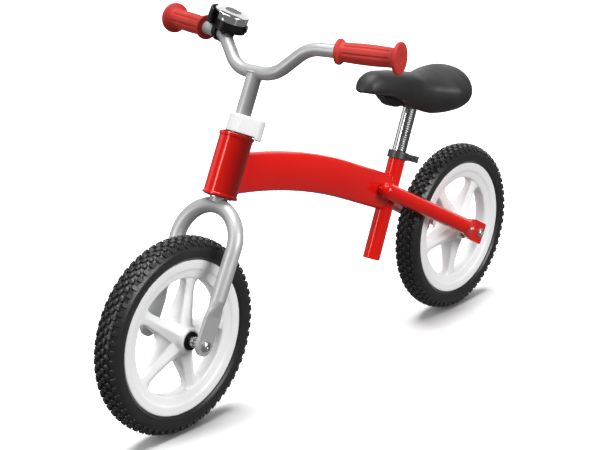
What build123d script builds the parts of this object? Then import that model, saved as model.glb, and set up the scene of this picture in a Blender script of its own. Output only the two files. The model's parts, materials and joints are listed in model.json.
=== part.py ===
from build123d import *
import os
from math import sin, cos, tan, radians, sqrt

# Children's balance bike. X forward, Y left, Z up, millimetres.
# Origin on the ground, half way between the axles. Steering straight ahead.

os.makedirs("parts", exist_ok=True)

# ---------------------------------------------------------------- dimensions
WHEELBASE = 650.0
TYRE_R = 140.0            # outside of the tread
RIM_R = 110.0             # rim edge
RIM_HALF = 16.4           # rim half width
HUB_HALF = 27.75          # half length of the wheel hub
SPOKES = 5
FRONT_PHASE = 36.5        # angle of the first spoke, degrees from +X
REAR_PHASE = 58.0

HEAD_ANGLE = 24.2         # steering axis from vertical
HEAD_BOTTOM = (238.61, 0, 318.2)
HEAD_LOW = 0.6            # lower end, along the steering axis
HEAD_LEN = 88.5           # upper end
HEAD_R = 23.5
HEAD_LIP = 1.3
HEAD_BORE = 20.5
STEER_R = 12.7            # steerer outside
STEER_BORE = 11.15
STEER_TOP = 111.5
FIT = 0.05                # running clearance on radius

STEM_R = 11.1
STEM_BOTTOM = 32.0        # insertion, along the steering axis
BAR_R = 9.5
BAR_Z = 480.5             # height of the bar's centre
BAR_BEND = (145.5, 78.0, 521.5)
BAR_END = (113.76, 207.54, 521.6)
BAR_LOW_Y = 34.0          # corner where the bar turns up
BAR_BEND_R = 48.0

FORK_CROWN = (243.65, 0, 306.98)
FORK_R = 10.9
LEG_Y = 52.5
FLAT_Y = 53.0             # middle of the flattened ends
FLAT_T = 5.5
FLAT_W = 29.0             # fork ends
STAY_W = 35.0             # chainstay ends

SEAT_ANGLE = 21.4         # seat tube from vertical
SEAT_BOTTOM = (-106.0, 0, 138.2)
SEAT_TUBE_LEN = 172.6
SEAT_TUBE_R = 13.5
POST_R = 11.1
POST_BORE = 11.15
LOWER_BORE = 10.6         # raw bore at the open lower end
LOWER_BORE_LEN = 40.0
POST_BOTTOM = 88.0        # insertion, along the seat tube

BEAM_A = 28.7             # half height of the oval
BEAM_B = 13.0             # half width
BEAM_WALL = 1.8
BEAM_MID = (-40.0, 0, 280.9)
BEAM_REAR = (-143.6, 0, 238.2)
BEAM_FRONT = (226.0, 0, 345.6)

STAY_FRONT = (-109.7, 24.6, 254.4)
STAY_REAR = (-286.0, 51.5, 160.5)
STAY_R = 12.5
STAY_SLOPE = 27.7         # fall of the flattened end, degrees

LUG_AZ = 127.0            # clamp lugs point to the rear left
SADDLE_NOSE = (-66.0, 0, 418.0)
SADDLE_TILT = 5.0
SADDLE_LEN = 238.0

AXLE_Z = TYRE_R
FX = WHEELBASE / 2
RX = -WHEELBASE / 2

# ------------------------------------------------------------ working planes
ch, sh = cos(radians(HEAD_ANGLE)), sin(radians(HEAD_ANGLE))
cs, ss = cos(radians(SEAT_ANGLE)), sin(radians(SEAT_ANGLE))
HEAD_DIR = Vector(-sh, 0, ch)
SEAT_DIR = Vector(-ss, 0, cs)


def across(angle_cos, angle_sin, azimuth):
    return (angle_cos * cos(radians(azimuth)), sin(radians(azimuth)), angle_sin * cos(radians(azimuth)))


HEAD = Plane(origin=HEAD_BOTTOM, x_dir=(ch, 0, sh), z_dir=(-sh, 0, ch))
HEAD_LUG = Plane(origin=HEAD_BOTTOM, x_dir=across(ch, sh, LUG_AZ), z_dir=(-sh, 0, ch))
HEAD_SECTION = Plane(origin=HEAD_BOTTOM, x_dir=(ch, 0, sh), z_dir=(0, -1, 0))
HEAD_AXIS = Axis(HEAD_BOTTOM, (-sh, 0, ch))
SEAT = Plane(origin=SEAT_BOTTOM, x_dir=(cs, 0, ss), z_dir=(-ss, 0, cs))
SEAT_LUG = Plane(origin=SEAT_BOTTOM, x_dir=across(cs, ss, LUG_AZ), z_dir=(-ss, 0, cs))
SEAT_SECTION = Plane(origin=SEAT_BOTTOM, x_dir=(cs, 0, ss), z_dir=(0, -1, 0))
SEAT_AXIS = Axis(SEAT_BOTTOM, (-ss, 0, cs))
FRONT_SECTION = Plane(origin=(FX, 0, AXLE_Z), x_dir=(0, 1, 0), z_dir=(1, 0, 0))
FRONT_AXIS = Axis((FX, 0, AXLE_Z), (0, 1, 0))
REAR_SECTION = Plane(origin=(RX, 0, AXLE_Z), x_dir=(0, 1, 0), z_dir=(1, 0, 0))
REAR_AXIS = Axis((RX, 0, AXLE_Z), (0, 1, 0))

# --------------------------------------------------------------- head tube
with BuildPart() as head_tube:
    with BuildSketch(HEAD_SECTION):
        with BuildLine():
            Polyline(
                (HEAD_BORE, HEAD_LOW), (HEAD_R + HEAD_LIP - 0.6, HEAD_LOW), (HEAD_R + HEAD_LIP, HEAD_LOW + 0.8),
                (HEAD_R + HEAD_LIP, HEAD_LOW + 3.2), (HEAD_R, HEAD_LOW + 4.6), (HEAD_R, HEAD_LEN - 5.4),
                (HEAD_R + HEAD_LIP, HEAD_LEN - 4.0), (HEAD_R + HEAD_LIP, HEAD_LEN - 0.8),
                (HEAD_R + HEAD_LIP - 0.6, HEAD_LEN), (HEAD_BORE, HEAD_LEN), close=True)
        make_face()
    revolve(axis=HEAD_AXIS)
head_tube.part.label = "head_tube"
export_step(head_tube.part, "parts/head_tube.step")

# headset bushes, pressed in from both ends
with BuildPart() as headset_bush_upper:
    with BuildSketch(HEAD_SECTION):
        with BuildLine():
            Polyline(
                (STEER_R + FIT, HEAD_LEN - 15), (HEAD_BORE, HEAD_LEN - 15), (HEAD_BORE, HEAD_LEN),
                (HEAD_R - 2.5, HEAD_LEN), (HEAD_R - 2.5, HEAD_LEN + 1.5), (STEER_R + FIT, HEAD_LEN + 1.5), close=True)
        make_face()
    revolve(axis=HEAD_AXIS)
headset_bush_upper.part.label = "headset_bush_upper"
export_step(headset_bush_upper.part, "parts/headset_bush_upper.step")

with BuildPart() as headset_bush_lower:
    with BuildSketch(HEAD_SECTION):
        with BuildLine():
            Polyline(
                (STEER_R + FIT, HEAD_LOW - 0.8), (HEAD_R - 1.5, HEAD_LOW - 0.8), (HEAD_R - 1.5, HEAD_LOW),
                (HEAD_BORE, HEAD_LOW), (HEAD_BORE, 15), (STEER_R + FIT, 15), close=True)
        make_face()
    revolve(axis=HEAD_AXIS)
headset_bush_lower.part.label = "headset_bush_lower"
export_step(headset_bush_lower.part, "parts/headset_bush_lower.step")

# --------------------------------------------------------------- main beam
# four-arc oval, swept along a straight run and a tangent arc, coped onto
# the head tube and the seat tube
OVAL_r = 9.0
OVAL_c = BEAM_A - OVAL_r
OVAL_R = ((BEAM_B ** 2 + OVAL_c ** 2) - OVAL_r ** 2) / (2 * (BEAM_B - OVAL_r))
OVAL_d = sqrt((OVAL_R - BEAM_B) ** 2 + OVAL_c ** 2)
OVAL_ux, OVAL_uy = (OVAL_R - BEAM_B) / OVAL_d, OVAL_c / OVAL_d


def oval_points(inset):
    tx = -(OVAL_R - BEAM_B) + (OVAL_R - inset) * OVAL_ux
    ty = (OVAL_R - inset) * OVAL_uy
    return tx, ty, BEAM_B - inset, BEAM_A - inset


with BuildPart() as main_beam:
    with BuildLine() as beam_path:
        beam_run = Line(BEAM_REAR, BEAM_MID)
        TangentArc(BEAM_MID, BEAM_FRONT, tangent=beam_run % 1)
    beam_start = Plane(origin=BEAM_REAR, x_dir=(0, 1, 0), z_dir=beam_run % 0)
    with BuildSketch(beam_start):
        tx, ty, bx, by = oval_points(0)
        with BuildLine():
            ThreePointArc((tx, -ty), (bx, 0), (tx, ty))
            ThreePointArc((tx, ty), (0, by), (-tx, ty))
            ThreePointArc((-tx, ty), (-bx, 0), (-tx, -ty))
            ThreePointArc((-tx, -ty), (0, -by), (tx, -ty))
        make_face()
        tx, ty, bx, by = oval_points(BEAM_WALL)
        with BuildLine():
            ThreePointArc((tx, -ty), (bx, 0), (tx, ty))
            ThreePointArc((tx, ty), (0, by), (-tx, ty))
            ThreePointArc((-tx, ty), (-bx, 0), (-tx, -ty))
            ThreePointArc((-tx, -ty), (0, -by), (tx, -ty))
        make_face(mode=Mode.SUBTRACT)
    sweep(path=beam_path.wire())
    with BuildSketch(HEAD.offset(-20)):
        Circle(HEAD_R)
    extrude(amount=150, mode=Mode.SUBTRACT)
    with BuildSketch(SEAT.offset(20)):
        Circle(SEAT_TUBE_R)
    extrude(amount=170, mode=Mode.SUBTRACT)
main_beam.part.label = "main_beam"
export_step(main_beam.part, "parts/main_beam.step")

# --------------------------------------------------------------- seat tube
with BuildPart() as seat_tube:
    with BuildSketch(SEAT_SECTION):
        with BuildLine():
            Polyline(
                (LOWER_BORE, 0.6), (LOWER_BORE + 0.6, 0), (SEAT_TUBE_R - 0.6, 0), (SEAT_TUBE_R, 0.6),
                (SEAT_TUBE_R, SEAT_TUBE_LEN), (POST_BORE, SEAT_TUBE_LEN), (POST_BORE, LOWER_BORE_LEN),
                (LOWER_BORE, LOWER_BORE_LEN), close=True)
        make_face()
    revolve(axis=SEAT_AXIS)
    # slit that lets the clamp squeeze the tube
    with BuildSketch(SEAT_LUG.offset(SEAT_TUBE_LEN - 28)):
        with Locations((12, 0)):
            Rectangle(12, 2)
    extrude(amount=40, mode=Mode.SUBTRACT)
seat_tube.part.label = "seat_tube"
export_step(seat_tube.part, "parts/seat_tube.step")

# -------------------------------------------------------------- chainstays
STAY_DIR = (Vector(STAY_REAR) - Vector(STAY_FRONT)).normalized()
STAY_LEN = (Vector(STAY_REAR) - Vector(STAY_FRONT)).length
FLAT_DIR = Vector(-cos(radians(STAY_SLOPE)), 0, -sin(radians(STAY_SLOPE)))
STAY_SIDE = Vector(0, 1, 0).cross(STAY_DIR).normalized()
STAY_BEGIN = Plane(origin=STAY_FRONT, x_dir=STAY_SIDE, z_dir=STAY_DIR)
STAY_STOP = Plane(origin=STAY_REAR, x_dir=STAY_SIDE, z_dir=STAY_DIR)
FLAT_SIDE = Vector(0, 1, 0).cross(FLAT_DIR).normalized()
FLAT_BEGIN = Plane(origin=Vector(RX, FLAT_Y, AXLE_Z) - FLAT_DIR * 20, x_dir=FLAT_SIDE, z_dir=FLAT_DIR)
STAY_PLATE = Plane(origin=(RX, FLAT_Y, AXLE_Z), x_dir=FLAT_DIR, z_dir=(0, 1, 0))


def ring_corners(radius):
    x, y = radius * cos(radians(30)), radius * sin(radians(30))
    return x, y


with BuildPart() as chainstay_left:
    with BuildSketch(STAY_BEGIN):
        Circle(STAY_R)
    extrude(amount=STAY_LEN)
    # closed, rounded front end
    with Locations(STAY_FRONT):
        Sphere(STAY_R)
    with BuildSketch(STAY_BEGIN.offset(1.6)):
        Circle(STAY_R - 1.6)
    extrude(amount=STAY_LEN - 1.6, mode=Mode.SUBTRACT)
    # tube squeezed flat towards the axle
    with BuildSketch(STAY_STOP):
        x, y = ring_corners(STAY_R)
        with BuildLine():
            ThreePointArc((x, y), (0, STAY_R), (-x, y))
            ThreePointArc((-x, y), (-STAY_R, 0), (-x, -y))
            ThreePointArc((-x, -y), (0, -STAY_R), (x, -y))
            ThreePointArc((x, -y), (STAY_R, 0), (x, y))
        make_face()
    with BuildSketch(FLAT_BEGIN):
        x, y = STAY_W / 2, FLAT_T / 2
        with BuildLine():
            Line((x, y), (-x, y))
            Line((-x, y), (-x, -y))
            Line((-x, -y), (x, -y))
            Line((x, -y), (x, y))
        make_face()
    loft()
    with BuildSketch(STAY_PLATE.offset(-FLAT_T / 2)):
        with Locations((-3.7, 0)):
            Rectangle(32.6, STAY_W)
    extrude(amount=FLAT_T)
    fillet(chainstay_left.part.edges().filter_by(Axis.Y).sort_by(Axis((RX, 0, AXLE_Z), FLAT_DIR))[-2:], 3.5)
    with BuildSketch(STAY_PLATE.offset(-10)):
        Circle(4.2)
    extrude(amount=20, mode=Mode.SUBTRACT)
    # flank of the beam that the tube is welded to
    with BuildLine() as flank_path:
        Line(BEAM_REAR, BEAM_MID)
    with BuildSketch(Plane(origin=BEAM_REAR, x_dir=(0, 1, 0), z_dir=beam_run % 0)):
        tx, ty, bx, by = oval_points(0)
        with BuildLine():
            ThreePointArc((tx, -ty), (bx, 0), (tx, ty))
            ThreePointArc((tx, ty), (0, by), (-tx, ty))
            ThreePointArc((-tx, ty), (-bx, 0), (-tx, -ty))
            ThreePointArc((-tx, -ty), (0, -by), (tx, -ty))
        make_face()
    sweep(path=flank_path.wire(), mode=Mode.SUBTRACT)
chainstay_left.part.label = "chainstay_left"
export_step(chainstay_left.part, "parts/chainstay_left.step")

with BuildPart() as chainstay_right:
    mirror(chainstay_left.part, about=Plane.XZ)
chainstay_right.part.label = "chainstay_right"
export_step(chainstay_right.part, "parts/chainstay_right.step")

# -------------------------------------------------------------- seat clamp
CLAMP_LOW = SEAT_TUBE_LEN - 10.7
CLAMP_HIGH = SEAT_TUBE_LEN + 1.5
SEAT_BOLT = Plane(
    origin=SEAT_LUG.from_local_coords((25.5, 0, (CLAMP_LOW + CLAMP_HIGH) / 2)),
    x_dir=SEAT_LUG.x_dir, z_dir=SEAT_LUG.y_dir)
with BuildPart() as seat_clamp:
    with BuildSketch(SEAT_LUG.offset(CLAMP_LOW)):
        Circle(16.4)
    extrude(amount=CLAMP_HIGH - CLAMP_LOW)
    fillet(seat_clamp.part.edges().filter_by(GeomType.CIRCLE), 0.8)
    with BuildSketch(SEAT_LUG.offset(CLAMP_LOW + 1)):
        with Locations((22, 0)):
            RectangleRounded(22, 11, 0.8)
    extrude(amount=CLAMP_HIGH - CLAMP_LOW - 2)
    with BuildSketch(SEAT_LUG.offset(CLAMP_LOW - 1)):
        Circle(SEAT_TUBE_R + 0.02)
    extrude(amount=SEAT_TUBE_LEN - CLAMP_LOW + 1, mode=Mode.SUBTRACT)
    with BuildSketch(SEAT_LUG.offset(CLAMP_LOW - 1)):
        Circle(POST_R + 0.6)
    extrude(amount=20, mode=Mode.SUBTRACT)
    with BuildSketch(SEAT_LUG.offset(CLAMP_LOW - 1)):
        with Locations((24, 0)):
            Rectangle(30, 3)
    extrude(amount=20, mode=Mode.SUBTRACT)
    with BuildSketch(SEAT_BOLT.offset(-15)):
        Circle(3.2)
    extrude(amount=30, mode=Mode.SUBTRACT)
seat_clamp.part.label = "seat_clamp"
export_step(seat_clamp.part, "parts/seat_clamp.step")

with BuildPart() as seat_clamp_bolt:
    with BuildSketch(SEAT_BOLT.offset(-9.5)):
        Circle(4.8)
    extrude(amount=4)
    fillet(seat_clamp_bolt.part.faces().sort_by(Axis(SEAT_BOLT.origin, SEAT_BOLT.z_dir))[0].edges(), 0.6)
    with BuildSketch(SEAT_BOLT.offset(-9.5)):
        RegularPolygon(2.6, 6)
    extrude(amount=2.4, mode=Mode.SUBTRACT)
    with BuildSketch(SEAT_BOLT.offset(-5.5)):
        Circle(3)
    extrude(amount=16.5)
seat_clamp_bolt.part.label = "seat_clamp_bolt"
export_step(seat_clamp_bolt.part, "parts/seat_clamp_bolt.step")

with BuildPart() as seat_clamp_nut:
    with BuildSketch(SEAT_BOLT.offset(5.5)):
        RegularPolygon(5.2, 6)
        Circle(3.02, mode=Mode.SUBTRACT)
    extrude(amount=4.5)
seat_clamp_nut.part.label = "seat_clamp_nut"
export_step(seat_clamp_nut.part, "parts/seat_clamp_nut.step")

# -------------------------------------------------------------------- fork
FORK_DIR = (Vector(FX, 0, AXLE_Z) - Vector(FORK_CROWN)).normalized()
FORK_LEN = (Vector(FX, 0, AXLE_Z) - Vector(FORK_CROWN)).length
LEG_STOP = Vector(FORK_CROWN) + FORK_DIR * (FORK_LEN - 63) + Vector(0, LEG_Y, 0)
FORK_SIDE = Vector(0, 1, 0).cross(FORK_DIR).normalized()
LEG_RING = Plane(origin=LEG_STOP, x_dir=FORK_SIDE, z_dir=FORK_DIR)
LEG_FLAT = Plane(
    origin=Vector(FX, FLAT_Y, AXLE_Z) - FORK_DIR * 40, x_dir=FORK_SIDE, z_dir=FORK_DIR)
LEG_PLATE = Plane(origin=(FX, FLAT_Y, AXLE_Z), x_dir=FORK_DIR, z_dir=(0, 1, 0))
with BuildPart() as fork_blades:
    # one tube bent into a U
    with BuildLine() as fork_path:
        FilletPolyline(
            LEG_STOP, Vector(FORK_CROWN) + Vector(0, LEG_Y, 0),
            Vector(FORK_CROWN) - Vector(0, LEG_Y, 0), LEG_STOP - Vector(0, 2 * LEG_Y, 0), radius=LEG_Y - 0.2)
    with BuildSketch(Plane(origin=LEG_STOP, x_dir=FORK_SIDE, z_dir=FORK_DIR * -1)):
        Circle(FORK_R)
        Circle(FORK_R - 1.6, mode=Mode.SUBTRACT)
    sweep(path=fork_path.wire())
    # squeezed ends
    with BuildSketch(LEG_RING):
        x, y = ring_corners(FORK_R)
        with BuildLine():
            ThreePointArc((x, y), (0, FORK_R), (-x, y))
            ThreePointArc((-x, y), (-FORK_R, 0), (-x, -y))
            ThreePointArc((-x, -y), (0, -FORK_R), (x, -y))
            ThreePointArc((x, -y), (FORK_R, 0), (x, y))
        make_face()
    with BuildSketch(LEG_FLAT):
        x, y = FLAT_W / 2, FLAT_T / 2
        with BuildLine():
            Line((x, y), (-x, y))
            Line((-x, y), (-x, -y))
            Line((-x, -y), (x, -y))
            Line((x, -y), (x, y))
        make_face()
    left_squeeze = loft()
    with BuildSketch(LEG_PLATE.offset(-FLAT_T / 2)):
        with Locations((-20, 0)):
            Rectangle(40, FLAT_W)
        Circle(FLAT_W / 2)
    left_plate = extrude(amount=FLAT_T)
    mirror(left_squeeze, about=Plane.XZ)
    mirror(left_plate, about=Plane.XZ)
    with BuildSketch(Plane(origin=(FX, -70, AXLE_Z), x_dir=(1, 0, 0), z_dir=(0, 1, 0))):
        Circle(4.2)
    extrude(amount=140, mode=Mode.SUBTRACT)
fork_blades.part.label = "fork_blades"
export_step(fork_blades.part, "parts/fork_blades.step")

with BuildPart() as steerer_tube:
    with BuildSketch(HEAD.offset(-13)):
        Circle(STEER_R)
        Circle(STEER_BORE, mode=Mode.SUBTRACT)
    extrude(amount=STEER_TOP + 13)
    with BuildSketch(HEAD_LUG.offset(STEER_TOP - 24)):
        with Locations((12, 0)):
            Rectangle(10, 2)
    extrude(amount=40, mode=Mode.SUBTRACT)
    # coped onto the crown of the U
    with BuildSketch(Plane(origin=Vector(FORK_CROWN) - Vector(0, 30, 0), x_dir=(1, 0, 0), z_dir=(0, 1, 0))):
        Circle(FORK_R)
    extrude(amount=60, mode=Mode.SUBTRACT)
    with BuildSketch(HEAD.offset(-40)):
        Rectangle(60, 60)
    extrude(amount=32, mode=Mode.SUBTRACT)
steerer_tube.part.label = "steerer_tube"
export_step(steerer_tube.part, "parts/steerer_tube.step")

with BuildPart() as crown_race:
    with BuildSketch(HEAD.offset(-1.4)):
        Circle(17.5)
        Circle(STEER_R + 0.04, mode=Mode.SUBTRACT)
    extrude(amount=0.9)
crown_race.part.label = "crown_race"
export_step(crown_race.part, "parts/crown_race.step")

with BuildPart() as thrust_washer:
    with BuildSketch(HEAD.offset(HEAD_LEN + 1.8)):
        Circle(15.2)
        Circle(STEER_R + 0.04, mode=Mode.SUBTRACT)
    extrude(amount=1.6)
thrust_washer.part.label = "thrust_washer"
export_step(thrust_washer.part, "parts/thrust_washer.step")

# steel clamp round the split steerer, under the moulded cover
STEM_BOLT = Plane(
    origin=HEAD_LUG.from_local_coords((22.5, 0, HEAD_LEN + 13)), x_dir=HEAD_LUG.x_dir, z_dir=HEAD_LUG.y_dir)
with BuildPart() as stem_clamp:
    with BuildSketch(HEAD_LUG.offset(HEAD_LEN + 3.4)):
        Circle(15.2)
    extrude(amount=STEER_TOP - HEAD_LEN - 4)
    with BuildSketch(HEAD_LUG.offset(HEAD_LEN + 5)):
        with Locations((20, 0)):
            Rectangle(19, 11)
    extrude(amount=16)
    with BuildSketch(HEAD_LUG.offset(HEAD_LEN)):
        Circle(STEER_R + 0.02)
    extrude(amount=40, mode=Mode.SUBTRACT)
    with BuildSketch(HEAD_LUG.offset(HEAD_LEN)):
        with Locations((22, 0)):
            Rectangle(28, 3)
    extrude(amount=40, mode=Mode.SUBTRACT)
    with BuildSketch(STEM_BOLT.offset(-15)):
        Circle(3.2)
    extrude(amount=30, mode=Mode.SUBTRACT)
stem_clamp.part.label = "stem_clamp"
export_step(stem_clamp.part, "parts/stem_clamp.step")

with BuildPart() as stem_clamp_bolt:
    with BuildSketch(STEM_BOLT.offset(-8.7)):
        Circle(4.2)
        RegularPolygon(2.4, 6, mode=Mode.SUBTRACT)
    extrude(amount=2.2)
    with BuildSketch(STEM_BOLT.offset(-6.5)):
        Circle(4.2)
    extrude(amount=1.0)
    with BuildSketch(STEM_BOLT.offset(-5.5)):
        Circle(3)
    extrude(amount=14.2)
stem_clamp_bolt.part.label = "stem_clamp_bolt"
export_step(stem_clamp_bolt.part, "parts/stem_clamp_bolt.step")

with BuildPart() as stem_clamp_nut:
    with BuildSketch(STEM_BOLT.offset(5.5)):
        RegularPolygon(4.3, 6)
        Circle(3.02, mode=Mode.SUBTRACT)
    extrude(amount=3.2)
stem_clamp_nut.part.label = "stem_clamp_nut"
export_step(stem_clamp_nut.part, "parts/stem_clamp_nut.step")

# moulded cover over the clamp, with a lug and upright flutes
with BuildPart() as clamp_cover:
    with BuildSketch(HEAD_LUG.offset(HEAD_LEN + 2.2)):
        Circle(17.8)
        with Locations((21.5, 0)):
            Circle(12.2)
        make_hull()
    extrude(amount=25.5)
    fillet(clamp_cover.part.faces().sort_by(HEAD_AXIS)[-1].edges(), 3.0)
    # the lug reaches down past the head tube's lip
    with BuildSketch(HEAD_LUG.offset(HEAD_LEN - 1.0)):
        Circle(17.8)
        with Locations((21.5, 0)):
            Circle(12.2)
        make_hull()
        Circle(HEAD_R + HEAD_LIP + 0.8, mode=Mode.SUBTRACT)
    extrude(amount=3.2)
    with BuildSketch(HEAD_LUG.offset(HEAD_LEN + 2.2)):
        Circle(15.7)
        with Locations((21.5, 0)):
            Circle(10.5)
        make_hull()
    extrude(amount=23.1, mode=Mode.SUBTRACT)
    with BuildSketch(HEAD_LUG.offset(HEAD_LEN)):
        Circle(STEM_R + 0.5)
    extrude(amount=40, mode=Mode.SUBTRACT)
clamp_cover.part.label = "clamp_cover"
export_step(clamp_cover.part, "parts/clamp_cover.step")

# --------------------------------------------------------------- handlebar
BAR_X = HEAD_BOTTOM[0] - tan(radians(HEAD_ANGLE)) * (BAR_Z - HEAD_BOTTOM[2])
BAR_LOCAL = (BAR_Z - HEAD_BOTTOM[2]) / ch
with BuildPart() as handlebar_tube:
    with BuildLine() as bar_path:
        FilletPolyline(
            BAR_END, BAR_BEND, (BAR_X, BAR_LOW_Y, BAR_Z), (BAR_X, -BAR_LOW_Y, BAR_Z),
            (BAR_BEND[0], -BAR_BEND[1], BAR_BEND[2]), (BAR_END[0], -BAR_END[1], BAR_END[2]), radius=BAR_BEND_R)
    with BuildSketch(Plane(origin=BAR_END, z_dir=Vector(BAR_BEND) - Vector(BAR_END))):
        Circle(BAR_R)
        Circle(BAR_R - 1.6, mode=Mode.SUBTRACT)
    sweep(path=bar_path.wire())
handlebar_tube.part.label = "handlebar_tube"
export_step(handlebar_tube.part, "parts/handlebar_tube.step")

with BuildPart() as stem_tube:
    with BuildSketch(HEAD.offset(STEM_BOTTOM)):
        Circle(STEM_R)
        Circle(STEM_R - 1.6, mode=Mode.SUBTRACT)
    extrude(amount=BAR_LOCAL - 2 - STEM_BOTTOM)
    with BuildSketch(Plane(origin=(BAR_X, -30, BAR_Z), x_dir=(1, 0, 0), z_dir=(0, 1, 0))):
        Circle(BAR_R + 0.02)
    extrude(amount=60, mode=Mode.SUBTRACT)
stem_tube.part.label = "stem_tube"
export_step(stem_tube.part, "parts/stem_tube.step")

# grips: flanged both ends, closed outside
GRIP_DIR = (Vector(BAR_END) - Vector(BAR_BEND)).normalized()
GRIP_SIDE = Vector(0, 0, 1).cross(GRIP_DIR).normalized()
GRIP_SECTION = Plane(origin=BAR_BEND, x_dir=GRIP_DIR, z_dir=GRIP_SIDE)
BAR_RUN = (Vector(BAR_END) - Vector(BAR_BEND)).length
with BuildPart() as grip_left:
    with BuildSketch(GRIP_SECTION):
        with BuildLine():
            Polyline(
                (43.0, BAR_R + 0.02), (43.0, 16.2), (44.2, 17.6), (47.2, 17.6), (48.6, 16.4), (50, 14.2),
                (53, 13.4), (87, 14.3), (121.5, 13.4), (125.5, 14.2), (127.3, 17.2), (128.5, 20.6), (129.8, 21.9),
                (133.1, 22), (134.4, 21), (135.2, 16), (135.6, 10), (135.8, 0), (BAR_RUN, 0), (BAR_RUN, BAR_R + 0.02),
                close=True)
        make_face()
    revolve(axis=Axis(BAR_BEND, GRIP_DIR))
grip_left.part.label = "grip_left"
export_step(grip_left.part, "parts/grip_left.step")

with BuildPart() as grip_right:
    mirror(grip_left.part, about=Plane.XZ)
grip_right.part.label = "grip_right"
export_step(grip_right.part, "parts/grip_right.step")

# -------------------------------------------------------------------- bell
# on the right of the bar, tipped towards the rider
BELL_DIR = Vector(-0.166, 0.302, 0.939).normalized()
RIGHT_BEND = Vector(BAR_BEND[0], -BAR_BEND[1], BAR_BEND[2])
RIGHT_DIR = (Vector(BAR_END[0], -BAR_END[1], BAR_END[2]) - RIGHT_BEND).normalized()
INBOARD = RIGHT_DIR * -1
BELL_X = (INBOARD - BELL_DIR * INBOARD.dot(BELL_DIR)).normalized()
BELL_Y = BELL_DIR.cross(BELL_X)
BELL_AT = RIGHT_BEND + RIGHT_DIR * 22.5
BELL_RISE = 2.0
BELL = Plane(origin=BELL_AT + BELL_X * 16.8 + BELL_Y * 6.3 + BELL_DIR * BELL_RISE, x_dir=BELL_X, z_dir=BELL_DIR)
BELL_SECTION = Plane(origin=BELL.origin, x_dir=BELL_X, z_dir=BELL_Y * -1)
BELL_AXIS = Axis(BELL.origin, BELL_DIR)
BELL_STRAP = Plane(origin=RIGHT_BEND + RIGHT_DIR * 4, x_dir=BELL_Y, z_dir=RIGHT_DIR)
LEVER_AZ = 48.0
LEVER = Plane(
    origin=BELL.origin, x_dir=BELL_X * cos(radians(LEVER_AZ)) + BELL_Y * sin(radians(LEVER_AZ)), z_dir=BELL_DIR)
PIN_AT = 18.0
STRIKER_AT = (15.5 * cos(radians(57)), 15.5 * sin(radians(57)))
STRAP_SCREW = Plane(
    origin=BELL_STRAP.from_local_coords((16.5, 0, 4.5)), x_dir=RIGHT_DIR, z_dir=BELL_STRAP.y_dir)
with BuildPart() as bell_base:
    with BuildSketch(BELL_STRAP):
        Circle(13.4)
    extrude(amount=9)
    with BuildSketch(BELL_STRAP.offset(1)):
        with Locations((15, 0)):
            RectangleRounded(11, 9, 1)
    extrude(amount=7)
    with BuildSketch(BELL.offset(-8)):
        with Locations((2, -4.5)):
            RectangleRounded(28, 20, 3)
    extrude(amount=20)
    with BuildSketch(BELL.offset(9.5)):
        Circle(25.8)
    extrude(amount=3.1)
    with BuildSketch(BELL.offset(12.5)):
        Circle(24.2)
    extrude(amount=9.5)
    with BuildSketch(BELL.offset(14.5)):
        Circle(22.4)
    extrude(amount=10, mode=Mode.SUBTRACT)
    # shelf and upright fence on the outboard side of the dome
    with BuildSketch(BELL.offset(12)):
        Circle(31.8)
        Circle(23.4, mode=Mode.SUBTRACT)
        with Locations(Location((0, 0, 0), (0, 0, LEVER_AZ))):
            with Locations((10, 0)):
                Rectangle(64, 70, mode=Mode.SUBTRACT)
    extrude(amount=4)
    with BuildSketch(BELL.offset(12)):
        Circle(31.8)
        Circle(29.6, mode=Mode.SUBTRACT)
        with Locations(Location((0, 0, 0), (0, 0, LEVER_AZ))):
            with Locations((7, 0)):
                Rectangle(64, 70, mode=Mode.SUBTRACT)
    extrude(amount=20)
    # way out for the lever
    with BuildSketch(LEVER.offset(14.5)):
        with Locations((24, 0)):
            Rectangle(12, 17)
    extrude(amount=4.4, mode=Mode.SUBTRACT)
    with BuildLine() as seat_path:
        FilletPolyline(
            RIGHT_BEND + RIGHT_DIR * 60, RIGHT_BEND, (BAR_X, -BAR_LOW_Y, BAR_Z), (BAR_X, 0, BAR_Z), radius=BAR_BEND_R)
    with BuildSketch(Plane(origin=RIGHT_BEND + RIGHT_DIR * 60, z_dir=INBOARD)):
        Circle(BAR_R + 0.02)
    sweep(path=seat_path.wire(), mode=Mode.SUBTRACT)
    with BuildSketch(BELL_STRAP.offset(-1)):
        with Locations((15, 0)):
            Rectangle(14, 1.6)
    extrude(amount=11, mode=Mode.SUBTRACT)
    with BuildSketch(STRAP_SCREW.offset(-8)):
        Circle(2.1)
    extrude(amount=16, mode=Mode.SUBTRACT)
bell_base.part.label = "bell_base"
export_step(bell_base.part, "parts/bell_base.step")

with BuildPart() as bell_clamp_screw:
    with BuildSketch(STRAP_SCREW.offset(-6.7)):
        Circle(3.4)
    extrude(amount=2.2)
    with BuildSketch(STRAP_SCREW.offset(-6.7)):
        Rectangle(8, 1)
    extrude(amount=1.0, mode=Mode.SUBTRACT)
    with BuildSketch(STRAP_SCREW.offset(-4.5)):
        Circle(2.0)
    extrude(amount=11)
bell_clamp_screw.part.label = "bell_clamp_screw"
export_step(bell_clamp_screw.part, "parts/bell_clamp_screw.step")

with BuildPart() as bell_post:
    with BuildSketch(BELL_SECTION):
        with BuildLine():
            Polyline((0, 14.5), (5, 14.5), (5, 20), (3, 21), (3, 35.2), (0, 35.2), close=True)
        make_face()
    revolve(axis=BELL_AXIS)
bell_post.part.label = "bell_post"
export_step(bell_post.part, "parts/bell_post.step")

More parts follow.
